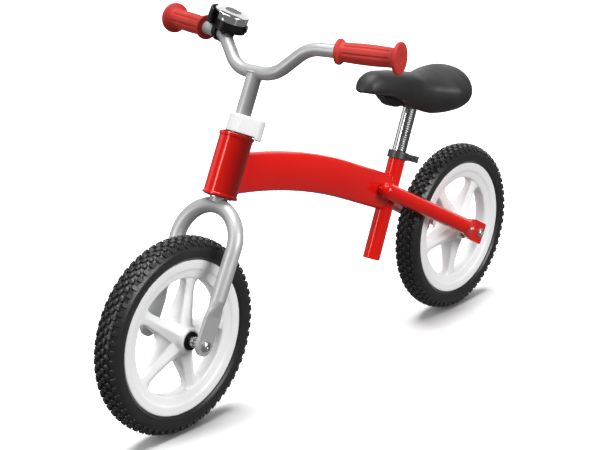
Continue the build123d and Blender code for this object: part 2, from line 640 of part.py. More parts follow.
with BuildPart() as bell_dome:
    with BuildSketch(BELL_SECTION):
        with BuildLine():
            Polyline(
                (3.1, 34.0), (12.6, 34.0), (16.8, 33.7), (20.6, 32.9), (23.2, 31.9), (23.6, 31.3), (23.4, 30),
                (23.1, 26), (22.9, 22.5), (24.4, 22.5), (24.6, 26), (24.9, 30), (25.2, 31.9), (25.2, 32.7),
                (24.6, 33.4), (21, 34.5), (17, 35.3), (13.6, 35.9), (12.0, 36.1), (11.8, 35.2), (3.1, 35.2),
                close=True)
        make_face()
    revolve(axis=BELL_AXIS)
bell_dome.part.label = "bell_dome"
export_step(bell_dome.part, "parts/bell_dome.step")

with BuildPart() as bell_dome_cap:
    with BuildSketch(BELL_SECTION):
        with BuildLine():
            Polyline((0, 35.2), (11.6, 35.2), (11.6, 35.9), (10.8, 36.1), (6, 35.7), (0, 35.6), close=True)
        make_face()
    revolve(axis=BELL_AXIS)
bell_dome_cap.part.label = "bell_dome_cap"
export_step(bell_dome_cap.part, "parts/bell_dome_cap.step")

with BuildPart() as bell_lever_pin:
    with BuildSketch(LEVER.offset(14.5)):
        with Locations((PIN_AT, 0)):
            Circle(2)
    extrude(amount=7.3)
bell_lever_pin.part.label = "bell_lever_pin"
export_step(bell_lever_pin.part, "parts/bell_lever_pin.step")

with BuildPart() as bell_lever_spring:
    with BuildSketch(LEVER.offset(18.4)):
        with Locations((PIN_AT, 0)):
            Circle(3.4)
            Circle(2.3, mode=Mode.SUBTRACT)
    extrude(amount=3.2)
bell_lever_spring.part.label = "bell_lever_spring"
export_step(bell_lever_spring.part, "parts/bell_lever_spring.step")

with BuildPart() as bell_lever:
    with BuildSketch(LEVER.offset(15)):
        with Locations((PIN_AT, 0)):
            Circle(4.0)
        with Locations((25, 0)):
            Circle(2.4)
        make_hull()
    extrude(amount=3)
    with BuildSketch(LEVER.offset(15)):
        with Locations((PIN_AT, 0)):
            Circle(4.0)
        with Locations(STRIKER_AT):
            Circle(3.0)
        make_hull()
    extrude(amount=3)
    # thumb blade along the rim, pointed at its inboard end
    with BuildSketch(BELL.offset(13.2)):
        Polygon(
            (22.9, 15.4), (17.9, 21.3), (9.4, 26.2), (0.0, 28.0), (-6.7, 27.2), (-9.4, 25.2), (-7.8, 24.2),
            (-2.2, 25.3), (6.6, 24.5), (14.5, 20.8), (18.0, 18.0), (21.0, 15.3), align=None)
    extrude(amount=7)
    with BuildSketch(LEVER.offset(10)):
        with Locations((PIN_AT, 0)):
            Circle(2.05)
        with Locations(STRIKER_AT):
            Circle(1.6)
    extrude(amount=15, mode=Mode.SUBTRACT)
bell_lever.part.label = "bell_lever"
export_step(bell_lever.part, "parts/bell_lever.step")

with BuildPart() as bell_striker:
    with BuildSketch(LEVER.offset(15)):
        with Locations(STRIKER_AT):
            Circle(1.6)
    extrude(amount=3)
    with BuildSketch(LEVER.offset(18)):
        with Locations(STRIKER_AT):
            Circle(2.9)
    extrude(amount=9)
bell_striker.part.label = "bell_striker"
export_step(bell_striker.part, "parts/bell_striker.step")


# ------------------------------------------------------------------ wheels
# the rim ring carries the hub and spokes; the foam tyre sits in the rim channel
def spoke_plane(cx, azimuth, radius):
    a = radians(azimuth)
    return Plane(
        origin=(cx + radius * cos(a), 0, AXLE_Z + radius * sin(a)),
        x_dir=(-sin(a), 0, cos(a)), z_dir=(cos(a), 0, sin(a)))


RIM_OUTLINE = [
    (RIM_HALF, 108.4), (RIM_HALF, RIM_R), (14.4, RIM_R), (11.6, 98.0), (-11.6, 98.0), (-14.4, RIM_R),
    (-RIM_HALF, RIM_R), (-RIM_HALF, 108.4), (-15.2, 97.0), (-13.2, 95.6), (-10.2, 84.6), (-9.0, 83.6), (9.0, 83.6),
    (10.2, 84.6), (13.2, 95.6), (15.2, 97.0)]
HUB_OUTLINE = [
    (HUB_HALF, 9.5), (HUB_HALF, 16.2), (20, 18.5), (9, 24), (-9, 24), (-20, 18.5), (-HUB_HALF, 16.2), (-HUB_HALF, 9.5)]
# ridged spoke: radius, half width, half depth of the edge, half depth of the ridge
SPOKE_SECTIONS = [
    (13.0, 14.0, 16.0, 24.5), (36.0, 11.0, 11.0, 17.5), (62.0, 8.8, 7.2, 11.0), (72.0, 8.8, 6.6, 9.6),
    (77.0, 10.0, 6.3, 9.0), (80.5, 12.4, 6.1, 8.7), (83.0, 16.2, 6.0, 8.5), (86.0, 22.0, 5.9, 8.4), (90.0, 24.0, 5.8, 8.3)]


def ridged(w, e, d):
    return [(w, e), (0, d), (-w, e), (-w, -e), (0, -d), (w, -e)]


with BuildPart() as front_rim:
    with BuildSketch(FRONT_SECTION):
        with BuildLine():
            Polyline(*RIM_OUTLINE, close=True)
        make_face()
    revolve(axis=FRONT_AXIS)
front_rim.part.label = "front_rim"
export_step(front_rim.part, "parts/front_rim.step")

with BuildPart() as front_spokes:
    with BuildSketch(FRONT_SECTION):
        with BuildLine():
            Polyline(*HUB_OUTLINE, close=True)
        make_face()
    revolve(axis=FRONT_AXIS)
    for k in range(SPOKES):
        azimuth = FRONT_PHASE + 360 / SPOKES * k
        for radius, w, e, d in SPOKE_SECTIONS:
            with BuildSketch(spoke_plane(FX, azimuth, radius)):
                Polygon(*ridged(w, e, d), align=None)
        loft(ruled=True)
    with BuildSketch(Plane(origin=(FX, -60, AXLE_Z), x_dir=(1, 0, 0), z_dir=(0, 1, 0))):
        Circle(9.5)
    extrude(amount=120, mode=Mode.SUBTRACT)
    add(front_rim.part, mode=Mode.SUBTRACT)
front_spokes.part.label = "front_spokes"
export_step(front_spokes.part, "parts/front_spokes.step")

with BuildPart() as rear_rim:
    with BuildSketch(REAR_SECTION):
        with BuildLine():
            Polyline(*RIM_OUTLINE, close=True)
        make_face()
    revolve(axis=REAR_AXIS)
rear_rim.part.label = "rear_rim"
export_step(rear_rim.part, "parts/rear_rim.step")

with BuildPart() as rear_spokes:
    with BuildSketch(REAR_SECTION):
        with BuildLine():
            Polyline(*HUB_OUTLINE, close=True)
        make_face()
    revolve(axis=REAR_AXIS)
    for k in range(SPOKES):
        azimuth = REAR_PHASE + 360 / SPOKES * k
        for radius, w, e, d in SPOKE_SECTIONS:
            with BuildSketch(spoke_plane(RX, azimuth, radius)):
                Polygon(*ridged(w, e, d), align=None)
        loft(ruled=True)
    with BuildSketch(Plane(origin=(RX, -60, AXLE_Z), x_dir=(1, 0, 0), z_dir=(0, 1, 0))):
        Circle(9.5)
    extrude(amount=120, mode=Mode.SUBTRACT)
    add(rear_rim.part, mode=Mode.SUBTRACT)
rear_spokes.part.label = "rear_spokes"
export_step(rear_spokes.part, "parts/rear_spokes.step")

with BuildPart() as front_tyre:
    with BuildSketch(FRONT_SECTION):
        with BuildLine():
            Polyline((RIM_HALF, RIM_R), (14.4, RIM_R), (11.6, 98.0), (-11.6, 98.0), (-14.4, RIM_R), (-RIM_HALF, RIM_R))
            ThreePointArc((-RIM_HALF, RIM_R), (-20.2, 123.0), (-17.6, 134.4))
            ThreePointArc((-17.6, 134.4), (0, TYRE_R), (17.6, 134.4))
            ThreePointArc((17.6, 134.4), (20.2, 123.0), (RIM_HALF, RIM_R))
        make_face()
    revolve(axis=FRONT_AXIS)
front_tyre.part.label = "front_tyre"
export_step(front_tyre.part, "parts/front_tyre.step")

with BuildPart() as rear_tyre:
    with BuildSketch(REAR_SECTION):
        with BuildLine():
            Polyline((RIM_HALF, RIM_R), (14.4, RIM_R), (11.6, 98.0), (-11.6, 98.0), (-14.4, RIM_R), (-RIM_HALF, RIM_R))
            ThreePointArc((-RIM_HALF, RIM_R), (-20.2, 123.0), (-17.6, 134.4))
            ThreePointArc((-17.6, 134.4), (0, TYRE_R), (17.6, 134.4))
            ThreePointArc((17.6, 134.4), (20.2, 123.0), (RIM_HALF, RIM_R))
        make_face()
    revolve(axis=REAR_AXIS)
rear_tyre.part.label = "rear_tyre"
export_step(rear_tyre.part, "parts/rear_tyre.step")

# flanged bushes in both ends of each hub
SLEEVE_R = 6.5
FLANGE_T = 2.5
BUSH_OUTLINE = [
    (14, SLEEVE_R + FIT), (14, 9.5), (HUB_HALF, 9.5), (HUB_HALF, 13.0), (HUB_HALF + FLANGE_T - 0.6, 13.0),
    (HUB_HALF + FLANGE_T, 12.4), (HUB_HALF + FLANGE_T, SLEEVE_R + FIT)]
with BuildPart() as front_hub_bushes:
    with BuildSketch(FRONT_SECTION):
        with BuildLine():
            Polyline(*BUSH_OUTLINE, close=True)
        make_face()
    near_bush = revolve(axis=FRONT_AXIS)
    mirror(near_bush, about=Plane.XZ)
front_hub_bushes.part.label = "front_hub_bushes"
export_step(front_hub_bushes.part, "parts/front_hub_bushes.step")

with BuildPart() as rear_hub_bushes:
    with BuildSketch(REAR_SECTION):
        with BuildLine():
            Polyline(*BUSH_OUTLINE, close=True)
        make_face()
    near_bush = revolve(axis=REAR_AXIS)
    mirror(near_bush, about=Plane.XZ)
rear_hub_bushes.part.label = "rear_hub_bushes"
export_step(rear_hub_bushes.part, "parts/rear_hub_bushes.step")

# ------------------------------------------------------------------- axles
FLAT_IN = FLAT_Y - FLAT_T / 2
FLAT_OUT = FLAT_Y + FLAT_T / 2
WASHER_T = 1.0
SLEEVE_OUTLINE = [(-FLAT_IN, 4.2), (-FLAT_IN, SLEEVE_R), (FLAT_IN, SLEEVE_R), (FLAT_IN, 4.2)]
SPACER_OUTLINE = [(HUB_HALF + FLANGE_T + 0.4, SLEEVE_R + 0.04), (HUB_HALF + FLANGE_T + 0.4, 7.7), (38.5, 7.7), (38.5, SLEEVE_R + 0.04)]
WASHER_OUTLINE = [(FLAT_OUT, 4.2), (FLAT_OUT, 7.8), (FLAT_OUT + WASHER_T, 7.8), (FLAT_OUT + WASHER_T, 4.2)]
HEAD_FACE = FLAT_OUT + WASHER_T
BOLT_OUTLINE = [
    (-HEAD_FACE - 7.6, 0), (-HEAD_FACE - 7.6, 3.4), (-HEAD_FACE - 7.0, 4.0), (HEAD_FACE, 4.0), (HEAD_FACE, 7.4),
    (HEAD_FACE + 1.6, 7.4), (HEAD_FACE + 3.2, 6.4), (HEAD_FACE + 4.2, 4.8), (HEAD_FACE + 4.6, 2.6),
    (HEAD_FACE + 2.2, 2.6), (HEAD_FACE + 1.6, 0)]
FRONT_NUT = Plane(origin=(FX, -HEAD_FACE, AXLE_Z), x_dir=(1, 0, 0), z_dir=(0, -1, 0))
REAR_NUT = Plane(origin=(RX, -HEAD_FACE, AXLE_Z), x_dir=(1, 0, 0), z_dir=(0, -1, 0))

with BuildPart() as front_axle_sleeve:
    with BuildSketch(FRONT_SECTION):
        with BuildLine():
            Polyline(*SLEEVE_OUTLINE, close=True)
        make_face()
    revolve(axis=FRONT_AXIS)
front_axle_sleeve.part.label = "front_axle_sleeve"
export_step(front_axle_sleeve.part, "parts/front_axle_sleeve.step")

with BuildPart() as rear_axle_sleeve:
    with BuildSketch(REAR_SECTION):
        with BuildLine():
            Polyline(*SLEEVE_OUTLINE, close=True)
        make_face()
    revolve(axis=REAR_AXIS)
rear_axle_sleeve.part.label = "rear_axle_sleeve"
export_step(rear_axle_sleeve.part, "parts/rear_axle_sleeve.step")

with BuildPart() as front_hub_spacers:
    with BuildSketch(FRONT_SECTION):
        with BuildLine():
            Polyline(*SPACER_OUTLINE, close=True)
        make_face()
    near_spacer = revolve(axis=FRONT_AXIS)
    mirror(near_spacer, about=Plane.XZ)
front_hub_spacers.part.label = "front_hub_spacers"
export_step(front_hub_spacers.part, "parts/front_hub_spacers.step")

with BuildPart() as rear_hub_spacers:
    with BuildSketch(REAR_SECTION):
        with BuildLine():
            Polyline(*SPACER_OUTLINE, close=True)
        make_face()
    near_spacer = revolve(axis=REAR_AXIS)
    mirror(near_spacer, about=Plane.XZ)
rear_hub_spacers.part.label = "rear_hub_spacers"
export_step(rear_hub_spacers.part, "parts/rear_hub_spacers.step")

with BuildPart() as front_axle_washers:
    with BuildSketch(FRONT_SECTION):
        with BuildLine():
            Polyline(*WASHER_OUTLINE, close=True)
        make_face()
    near_washer = revolve(axis=FRONT_AXIS)
    mirror(near_washer, about=Plane.XZ)
front_axle_washers.part.label = "front_axle_washers"
export_step(front_axle_washers.part, "parts/front_axle_washers.step")

with BuildPart() as rear_axle_washers:
    with BuildSketch(REAR_SECTION):
        with BuildLine():
            Polyline(*WASHER_OUTLINE, close=True)
        make_face()
    near_washer = revolve(axis=REAR_AXIS)
    mirror(near_washer, about=Plane.XZ)
rear_axle_washers.part.label = "rear_axle_washers"
export_step(rear_axle_washers.part, "parts/rear_axle_washers.step")

with BuildPart() as front_axle_bolt:
    with BuildSketch(FRONT_SECTION):
        with BuildLine():
            Polyline(*BOLT_OUTLINE, close=True)
        make_face()
    revolve(axis=FRONT_AXIS)
front_axle_bolt.part.label = "front_axle_bolt"
export_step(front_axle_bolt.part, "parts/front_axle_bolt.step")

with BuildPart() as rear_axle_bolt:
    with BuildSketch(REAR_SECTION):
        with BuildLine():
            Polyline(*BOLT_OUTLINE, close=True)
        make_face()
    revolve(axis=REAR_AXIS)
rear_axle_bolt.part.label = "rear_axle_bolt"
export_step(rear_axle_bolt.part, "parts/rear_axle_bolt.step")

with BuildPart() as front_axle_nut:
    with BuildSketch(FRONT_NUT):
        RegularPolygon(7.5, 6)
        Circle(4.02, mode=Mode.SUBTRACT)
    extrude(amount=6.5)
front_axle_nut.part.label = "front_axle_nut"
export_step(front_axle_nut.part, "parts/front_axle_nut.step")

with BuildPart() as rear_axle_nut:
    with BuildSketch(REAR_NUT):
        RegularPolygon(7.5, 6)
        Circle(4.02, mode=Mode.SUBTRACT)
    extrude(amount=6.5)
rear_axle_nut.part.label = "rear_axle_nut"
export_step(rear_axle_nut.part, "parts/rear_axle_nut.step")

# -------------------------------------------------------------------- seat
ct, st = cos(radians(SADDLE_TILT)), sin(radians(SADDLE_TILT))
SADDLE_BACK = Vector(-ct, 0, -st)
SADDLE_UP = Vector(-st, 0, ct)
# plane whose x is towards the tail, y is to the right and z is up
SADDLE = Plane(origin=SADDLE_NOSE, x_dir=SADDLE_BACK, z_dir=SADDLE_UP)
CEILING = -14.0           # underside of the base where the bracket sits
PAN_TOP = -9.0
PLATE_T = 2.5
PLATE_AT = 143.0


def table(knots, values, k):
    for a, b, va, vb in zip(knots, knots[1:], values, values[1:]):
        if k <= b:
            return va + (vb - va) * (k - a) / (b - a)
    return values[-1]


def saddle_section(k):
    w = table([0, .012, .03, .06, .15, .28, .40, .50, .60, .70, .80, .89, .955, .99, 1],
              [3.0, 7.4, 11.4, 16.2, 21.5, 24, 25.0, 26.6, 32, 43.5, 55.5, 57, 43, 24, 0.5], k)
    top = table([0, .02, .045, .08, .11, .16, .3, .45, .58, .66, .72, .84, .93, .98, 1],
                [-3, 4, 11.5, 17.4, 20.5, 22.2, 21.0, 16.7, 14.6, 15.2, 17.0, 21.4, 19.6, 9.5, -6], k)
    mid = table([0, .1, .3, .5, .7, .85, 1], [-4, -1, -1, -6, -13.5, -14.5, -13], k)
    low = table([0, .1, .25, .4, .55, .7, .85, .95, 1], [-6, -8.5, -15, -28, -44, -53, -50.5, -31, -18], k)
    # squareness of the upper half: full at the nose, rounder over the wings
    power = table([0, .45, .58, .84, .95, 1], [2.4, 2.4, 1.7, 1.7, 2.2, 2.2], k)
    return w, top, mid, low, power


def rounded(w, top, mid, low, power, count=20):
    points = []
    for i in range(count):
        a = radians(360 / count * i + 9)
        ca, sa = cos(a), sin(a)
        e = 2 / (power if sa > 0 else 2.3)
        y = w * abs(ca) ** e * (1 if ca > 0 else -1)
        z = mid + ((top - mid) * sa ** e if sa > 0 else -(mid - low) * abs(sa) ** e)
        points.append((y, z))
    return points


def saddle_plane(k):
    return Plane(
        origin=Vector(SADDLE_NOSE) + SADDLE_BACK * (SADDLE_LEN * k), x_dir=(0, -1, 0), z_dir=SADDLE_BACK)


SADDLE_STATIONS = [0.015, 0.06, 0.15, 0.28, 0.42, 0.54, 0.66, 0.78, 0.88, 0.95, 0.985]
PAN_STATIONS = [0.36, 0.45, 0.55, 0.66, 0.78, 0.87, 0.93]

with BuildPart() as saddle_form:
    for k in SADDLE_STATIONS:
        with BuildSketch(saddle_plane(k)):
            with BuildLine():
                Spline(*rounded(*saddle_section(k)), periodic=True)
            make_face()
    loft()

with BuildPart() as pan_form:
    for k in PAN_STATIONS:
        w = saddle_section(k)[0]
        with BuildSketch(saddle_plane(k)):
            with Locations((0, (PAN_TOP - 90) / 2)):
                RectangleRounded(2 * (w * 0.86 - 1.5), PAN_TOP + 90, 4)
    loft()

with BuildPart() as saddle_cover:
    add(saddle_form.part)
    add(pan_form.part, mode=Mode.SUBTRACT)
saddle_cover.part.label = "saddle_cover"
export_step(saddle_cover.part, "parts/saddle_cover.step")

# moulded base: a tray, open below, with a keel under the nose
with BuildPart() as keel_form:
    with BuildSketch(Plane.XZ.offset(-10)):
        with BuildLine():
            Polyline(
                (-104, 408), (-121, 393.5), (-133, 382.4), (-142, 377.6), (-152, 375.9), (-167, 376.2), (-167, 402),
                (-104, 412), close=True)
        make_face()
    extrude(amount=20)
    add(saddle_form.part, mode=Mode.SUBTRACT)

SCREWS = [(PLATE_AT + sx * 18, sy * 12.5) for sx in (-1, 1) for sy in (-1, 1)]
with BuildPart() as saddle_base:
    add(pan_form.part)
    add(saddle_form.part, mode=Mode.INTERSECT)
    for a, b in zip((0.44, 0.55, 0.66, 0.78, 0.875), (0.55, 0.66, 0.78, 0.875, 0.914)):
        wa = saddle_section(a)[0] * 0.86 - 5.0
        wb = saddle_section(b)[0] * 0.86 - 5.0
        with BuildSketch(saddle_plane(a)):
            with Locations((0, (CEILING - 95) / 2)):
                Rectangle(2 * wa, CEILING + 95)
        with BuildSketch(saddle_plane(b)):
            with Locations((0, (CEILING - 95) / 2)):
                Rectangle(2 * wb, CEILING + 95)
        loft(ruled=True, mode=Mode.SUBTRACT)
    add(keel_form.part)
    with BuildSketch(SADDLE.offset(CEILING - 1)):
        with Locations(*SCREWS):
            Circle(2.45)
    extrude(amount=4.5, mode=Mode.SUBTRACT)
saddle_base.part.label = "saddle_base"
export_step(saddle_base.part, "parts/saddle_base.step")

with BuildPart() as seatpost:
    with BuildSketch(SEAT.offset(POST_BOTTOM)):
        Circle(POST_R)
        Circle(POST_R - 1.5, mode=Mode.SUBTRACT)
    extrude(amount=230)
    split(bisect_by=SADDLE.offset(CEILING - PLATE_T), keep=Keep.BOTTOM)
seatpost.part.label = "seatpost"
export_step(seatpost.part, "parts/seatpost.step")

with BuildPart() as saddle_bracket:
    with BuildSketch(SEAT.offset(252)):
        Circle(14.2)
        Circle(POST_R + 0.02, mode=Mode.SUBTRACT)
    extrude(amount=40)
    split(bisect_by=SADDLE.offset(CEILING - PLATE_T), keep=Keep.BOTTOM)
    with BuildSketch(SADDLE.offset(CEILING - PLATE_T)):
        with Locations((PLATE_AT, 0)):
            RectangleRounded(50, 36, 5)
        with Locations(*SCREWS):
            Circle(2.7, mode=Mode.SUBTRACT)
    extrude(amount=PLATE_T)
saddle_bracket.part.label = "saddle_bracket"
export_step(saddle_bracket.part, "parts/saddle_bracket.step")

with BuildPart() as saddle_screws:
    with BuildSketch(SADDLE.offset(CEILING - PLATE_T - 2.6)):
        with Locations(*SCREWS):
            Circle(4.3)
            RegularPolygon(1.8, 6, mode=Mode.SUBTRACT)
    extrude(amount=1.6)
    with BuildSketch(SADDLE.offset(CEILING - PLATE_T - 1.0)):
        with Locations(*SCREWS):
            Circle(4.3)
    extrude(amount=1.0)
    with BuildSketch(SADDLE.offset(CEILING - PLATE_T)):
        with Locations(*SCREWS):
            Circle(2.4)
    extrude(amount=5.6)
saddle_screws.part.label = "saddle_screws"
export_step(saddle_screws.part, "parts/saddle_screws.step")
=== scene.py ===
import bpy
import bmesh
import json
import math
from math import sin, cos, tan, radians, sqrt, pi, atan2
from mathutils import Vector, Matrix


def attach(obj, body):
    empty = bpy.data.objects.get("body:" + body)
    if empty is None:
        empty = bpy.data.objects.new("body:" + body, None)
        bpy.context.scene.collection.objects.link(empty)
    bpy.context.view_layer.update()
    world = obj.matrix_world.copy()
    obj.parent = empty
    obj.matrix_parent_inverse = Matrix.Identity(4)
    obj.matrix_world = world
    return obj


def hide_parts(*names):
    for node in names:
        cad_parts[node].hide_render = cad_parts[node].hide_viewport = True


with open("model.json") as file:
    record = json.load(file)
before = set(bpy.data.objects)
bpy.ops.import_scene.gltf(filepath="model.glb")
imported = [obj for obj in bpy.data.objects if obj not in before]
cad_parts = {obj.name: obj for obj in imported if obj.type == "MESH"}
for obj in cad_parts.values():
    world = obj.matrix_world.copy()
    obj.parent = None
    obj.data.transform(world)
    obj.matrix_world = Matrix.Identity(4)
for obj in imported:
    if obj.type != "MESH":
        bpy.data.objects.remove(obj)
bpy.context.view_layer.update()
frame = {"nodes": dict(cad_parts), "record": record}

scene = bpy.context.scene
MM = 0.001

# ------------------------------------------------------------------ view
# camera solved from the wheel circles and the tube lines
RIGHT = Vector((-0.65073396, 0.75919405, 0.01302684))
UP = Vector((-0.23046348, -0.21382773, 0.94929673))
BACK = Vector((0.72348593, 0.61473741, 0.31411147))
cam_data = bpy.data.cameras.new("camera")
cam_data.sensor_fit = "HORIZONTAL"
cam_data.sensor_width = 36.0
cam_data.lens = 90.354
cam_data.clip_start = 0.05
cam_data.clip_end = 60.0
camera = bpy.data.objects.new("camera", cam_data)
scene.collection.objects.link(camera)
turn = Matrix((RIGHT, UP, BACK)).transposed().to_4x4()
camera.matrix_world = Matrix.Translation(Vector((1.66409, 1.35686, 0.92934))) @ turn
scene.camera = camera
scene.view_settings.view_transform = "Standard"

# ------------------------------------------------------------- materials


def new_material(name):
    m = bpy.data.materials.new(name)
    m.use_nodes = True
    nt = m.node_tree
    return m, nt, nt.nodes["Principled BSDF"]


def add(nt, kind, **values):
    n = nt.nodes.new(kind)
    for key, value in values.items():
        setattr(n, key, value)
    return n


def coords(nt):
    return add(nt, "ShaderNodeTexCoord").outputs["Object"]


def noise(nt, where, scale, detail=3.0, roughness=0.5):
    n = add(nt, "ShaderNodeTexNoise")
    n.inputs["Scale"].default_value = scale
    n.inputs["Detail"].default_value = detail
    n.inputs["Roughness"].default_value = roughness
    nt.links.new(where, n.inputs["Vector"])
    return n.outputs["Fac"]


def cells(nt, where, scale, feature="F1", smooth=None):
    n = add(nt, "ShaderNodeTexVoronoi", feature=feature)
    n.inputs["Scale"].default_value = scale
    nt.links.new(where, n.inputs["Vector"])
    return n.outputs["Distance"]


def ramp(nt, fac, low, high, a=0.3, b=0.7):
    n = add(nt, "ShaderNodeValToRGB")
    n.color_ramp.elements[0].position = a
    n.color_ramp.elements[1].position = b
    n.color_ramp.elements[0].color = tuple(low) + (1,)
    n.color_ramp.elements[1].color = tuple(high) + (1,)
    nt.links.new(fac, n.inputs["Fac"])
    return n.outputs["Color"]


def span(nt, fac, low, high):
    n = add(nt, "ShaderNodeMapRange")
    n.inputs["From Min"].default_value = 0.3
    n.inputs["From Max"].default_value = 0.7
    n.inputs["To Min"].default_value = low
    n.inputs["To Max"].default_value = high
    nt.links.new(fac, n.inputs["Value"])
    return n.outputs["Result"]


def bump(nt, height, strength, distance, under=None):
    n = add(nt, "ShaderNodeBump")
    n.inputs["Strength"].default_value = strength
    n.inputs["Distance"].default_value = distance
    nt.links.new(height, n.inputs["Height"])
    if under is not None:
        nt.links.new(under, n.inputs["Normal"])
    return n.outputs["Normal"]


def gloss_paint(name, low, high, rough=(0.20, 0.28), coat=0.45):
    m, nt, b = new_material(name)
    at = coords(nt)
    nt.links.new(ramp(nt, noise(nt, at, 9.0, 4), low, high), b.inputs["Base Color"])
    nt.links.new(span(nt, noise(nt, at, 60.0, 4), *rough), b.inputs["Roughness"])
    b.inputs["Coat Weight"].default_value = coat
    b.inputs["Coat Roughness"].default_value = 0.05
    b.inputs["Specular IOR Level"].default_value = 0.42
    b.inputs["Specular Tint"].default_value = (1.0, 0.30, 0.20, 1)
    peel = bump(nt, noise(nt, at, 300.0, 2), 0.012, 0.0005)
    nt.links.new(peel, b.inputs["Normal"])
    nt.links.new(peel, b.inputs["Coat Normal"])
    return m


def metal_paint(name, low, high, metallic, rough):
    m, nt, b = new_material(name)
    at = coords(nt)
    flakes = cells(nt, at, 2600.0)
    nt.links.new(ramp(nt, noise(nt, at, 14.0, 4), low, high), b.inputs["Base Color"])
    b.inputs["Metallic"].default_value = metallic
    nt.links.new(span(nt, noise(nt, at, 70.0, 4), *rough), b.inputs["Roughness"])
    b.inputs["Coat Weight"].default_value = 0.12
    b.inputs["Coat Roughness"].default_value = 0.28
    n = bump(nt, flakes, 0.05, 0.0003)
    nt.links.new(bump(nt, noise(nt, at, 300.0, 3), 0.04, 0.0005, n), b.inputs["Normal"])
    return m


def moulded(name, low, high, rough, grain=500.0, strength=0.06, specular=0.5):
    m, nt, b = new_material(name)
    at = coords(nt)
    nt.links.new(ramp(nt, noise(nt, at, 18.0, 5), low, high), b.inputs["Base Color"])
    nt.links.new(span(nt, noise(nt, at, 90.0, 4), *rough), b.inputs["Roughness"])
    b.inputs["Specular IOR Level"].default_value = specular
    n = bump(nt, noise(nt, at, grain, 3), strength, 0.0006)
    nt.links.new(n, b.inputs["Normal"])
    return m


def foam(name, low, high, rough):
    m, nt, b = new_material(name)
    at = coords(nt)
    nt.links.new(ramp(nt, noise(nt, at, 40.0, 6, 0.6), low, high), b.inputs["Base Color"])
    nt.links.new(span(nt, noise(nt, at, 120.0, 4), *rough), b.inputs["Roughness"])
    b.inputs["Specular IOR Level"].default_value = 0.42
    pores = cells(nt, at, 1500.0)
    n = bump(nt, pores, 0.12, 0.0003)
    nt.links.new(bump(nt, noise(nt, at, 240.0, 4), 0.12, 0.0007, n), b.inputs["Normal"])
    return m


def grained(name, low, high, rough):
    m, nt, b = new_material(name)
    at = coords(nt)
    nt.links.new(ramp(nt, noise(nt, at, 22.0, 5), low, high), b.inputs["Base Color"])
    nt.links.new(span(nt, noise(nt, at, 160.0, 3), *rough), b.inputs["Roughness"])
    b.inputs["Specular IOR Level"].default_value = 0.48
    b.inputs["Sheen Weight"].default_value = 0.02
    b.inputs["Sheen Roughness"].default_value = 0.45
    pebble = cells(nt, at, 1050.0, "SMOOTH_F1")
    n = bump(nt, pebble, 0.16, 0.0005)
    nt.links.new(bump(nt, noise(nt, at, 380.0, 4), 0.07, 0.0006, n), b.inputs["Normal"])
    return m


def plated(name, low, high, rough, lines=0.02):
    m, nt, b = new_material(name)
    at = coords(nt)
    nt.links.new(ramp(nt, noise(nt, at, 30.0, 4), low, high), b.inputs["Base Color"])
    b.inputs["Metallic"].default_value = 1.0
    nt.links.new(span(nt, noise(nt, at, 110.0, 5), *rough), b.inputs["Roughness"])
    nt.links.new(bump(nt, noise(nt, at, 700.0, 2), lines, 0.0003), b.inputs["Normal"])
    return m


M_RED = gloss_paint("red_paint_gloss", (0.68, 0.006, 0.004), (0.72, 0.009, 0.005), (0.14, 0.20), 0.40)
M_SILVER = metal_paint("silver_paint_satin", (0.43, 0.432, 0.435), (0.50, 0.502, 0.505), 0.40, (0.40, 0.48))
M_WHITE = moulded("white_plastic", (0.90, 0.90, 0.905), (0.93, 0.93, 0.935), (0.30, 0.40), 350.0, 0.05)
# darker copy of the white plastic for the clamp cover: its lower colour is painted shade, standing in for less light
# on the cover; it is also a little rougher
M_WHITE_MATT_SHADED = moulded("white_plastic_matt_painted_shade", (0.68, 0.682, 0.686), (0.73, 0.732, 0.736), (0.38, 0.48), 500.0, 0.06)
M_BLACK = moulded("black_plastic", (0.004, 0.004, 0.0043), (0.008, 0.008, 0.0084), (0.30, 0.44), 800.0, 0.08, 0.2)
M_GREY = moulded("grey_plastic", (0.05, 0.05, 0.053), (0.08, 0.08, 0.084), (0.35, 0.5), 700.0, 0.08)
M_TYRE = foam("black_foam", (0.0145, 0.0145, 0.0147), (0.0205, 0.0205, 0.0207), (0.28, 0.38))
M_COVER = grained("charcoal_cover", (0.011, 0.011, 0.0114), (0.017, 0.017, 0.0174), (0.46, 0.54))
M_GRIP = moulded("red_rubber", (0.44, 0.026, 0.020), (0.50, 0.034, 0.026), (0.45, 0.58), 900.0, 0.08, 0.25)
M_BLACKPAINT = metal_paint("black_satin_paint", (0.055, 0.055, 0.055), (0.080, 0.080, 0.080), 0.4, (0.30, 0.40))
M_CHROME = plated("chrome", (0.66, 0.66, 0.67), (0.74, 0.74, 0.75), (0.04, 0.08), 0.012)
# lighter copy of the chrome for the post: painted reflection, a brighter reflected strip put into its colour
M_POST_BRIGHTENED = plated("chrome_post_painted_reflection", (0.74, 0.74, 0.75), (0.82, 0.82, 0.83), (0.10, 0.16), 0.02)
# dark copy of the plating for the ridged height scale on the post: painted shade, standing in for grooves that
# mirror dark surroundings
M_SCALE_SHADED = plated("chrome_scale_painted_shade", (0.22, 0.22, 0.225), (0.32, 0.32, 0.325), (0.24, 0.34), 0.05)
M_ZINC = plated("zinc_steel", (0.58, 0.58, 0.57), (0.68, 0.68, 0.67), (0.20, 0.32), 0.05)

BY_SLOT = {
    "red_paint": M_RED, "silver_paint": M_SILVER, "black_plastic": M_BLACK, "white_plastic": M_WHITE,
    "black_foam": M_TYRE, "red_rubber": M_GRIP, "charcoal_cover": M_COVER, "black_paint": M_BLACKPAINT,
    "grey_plastic": M_GREY, "chrome": M_CHROME, "zinc_steel": M_ZINC}
SLOT_OF = {s["node"]: s["material_slot"] for s in frame["record"]["subparts"]}
for node, ob in frame["nodes"].items():
    ob.data.materials.clear()
    ob.data.materials.append(BY_SLOT[SLOT_OF[node]])

# ---------------------------------------------------------- mesh helpers


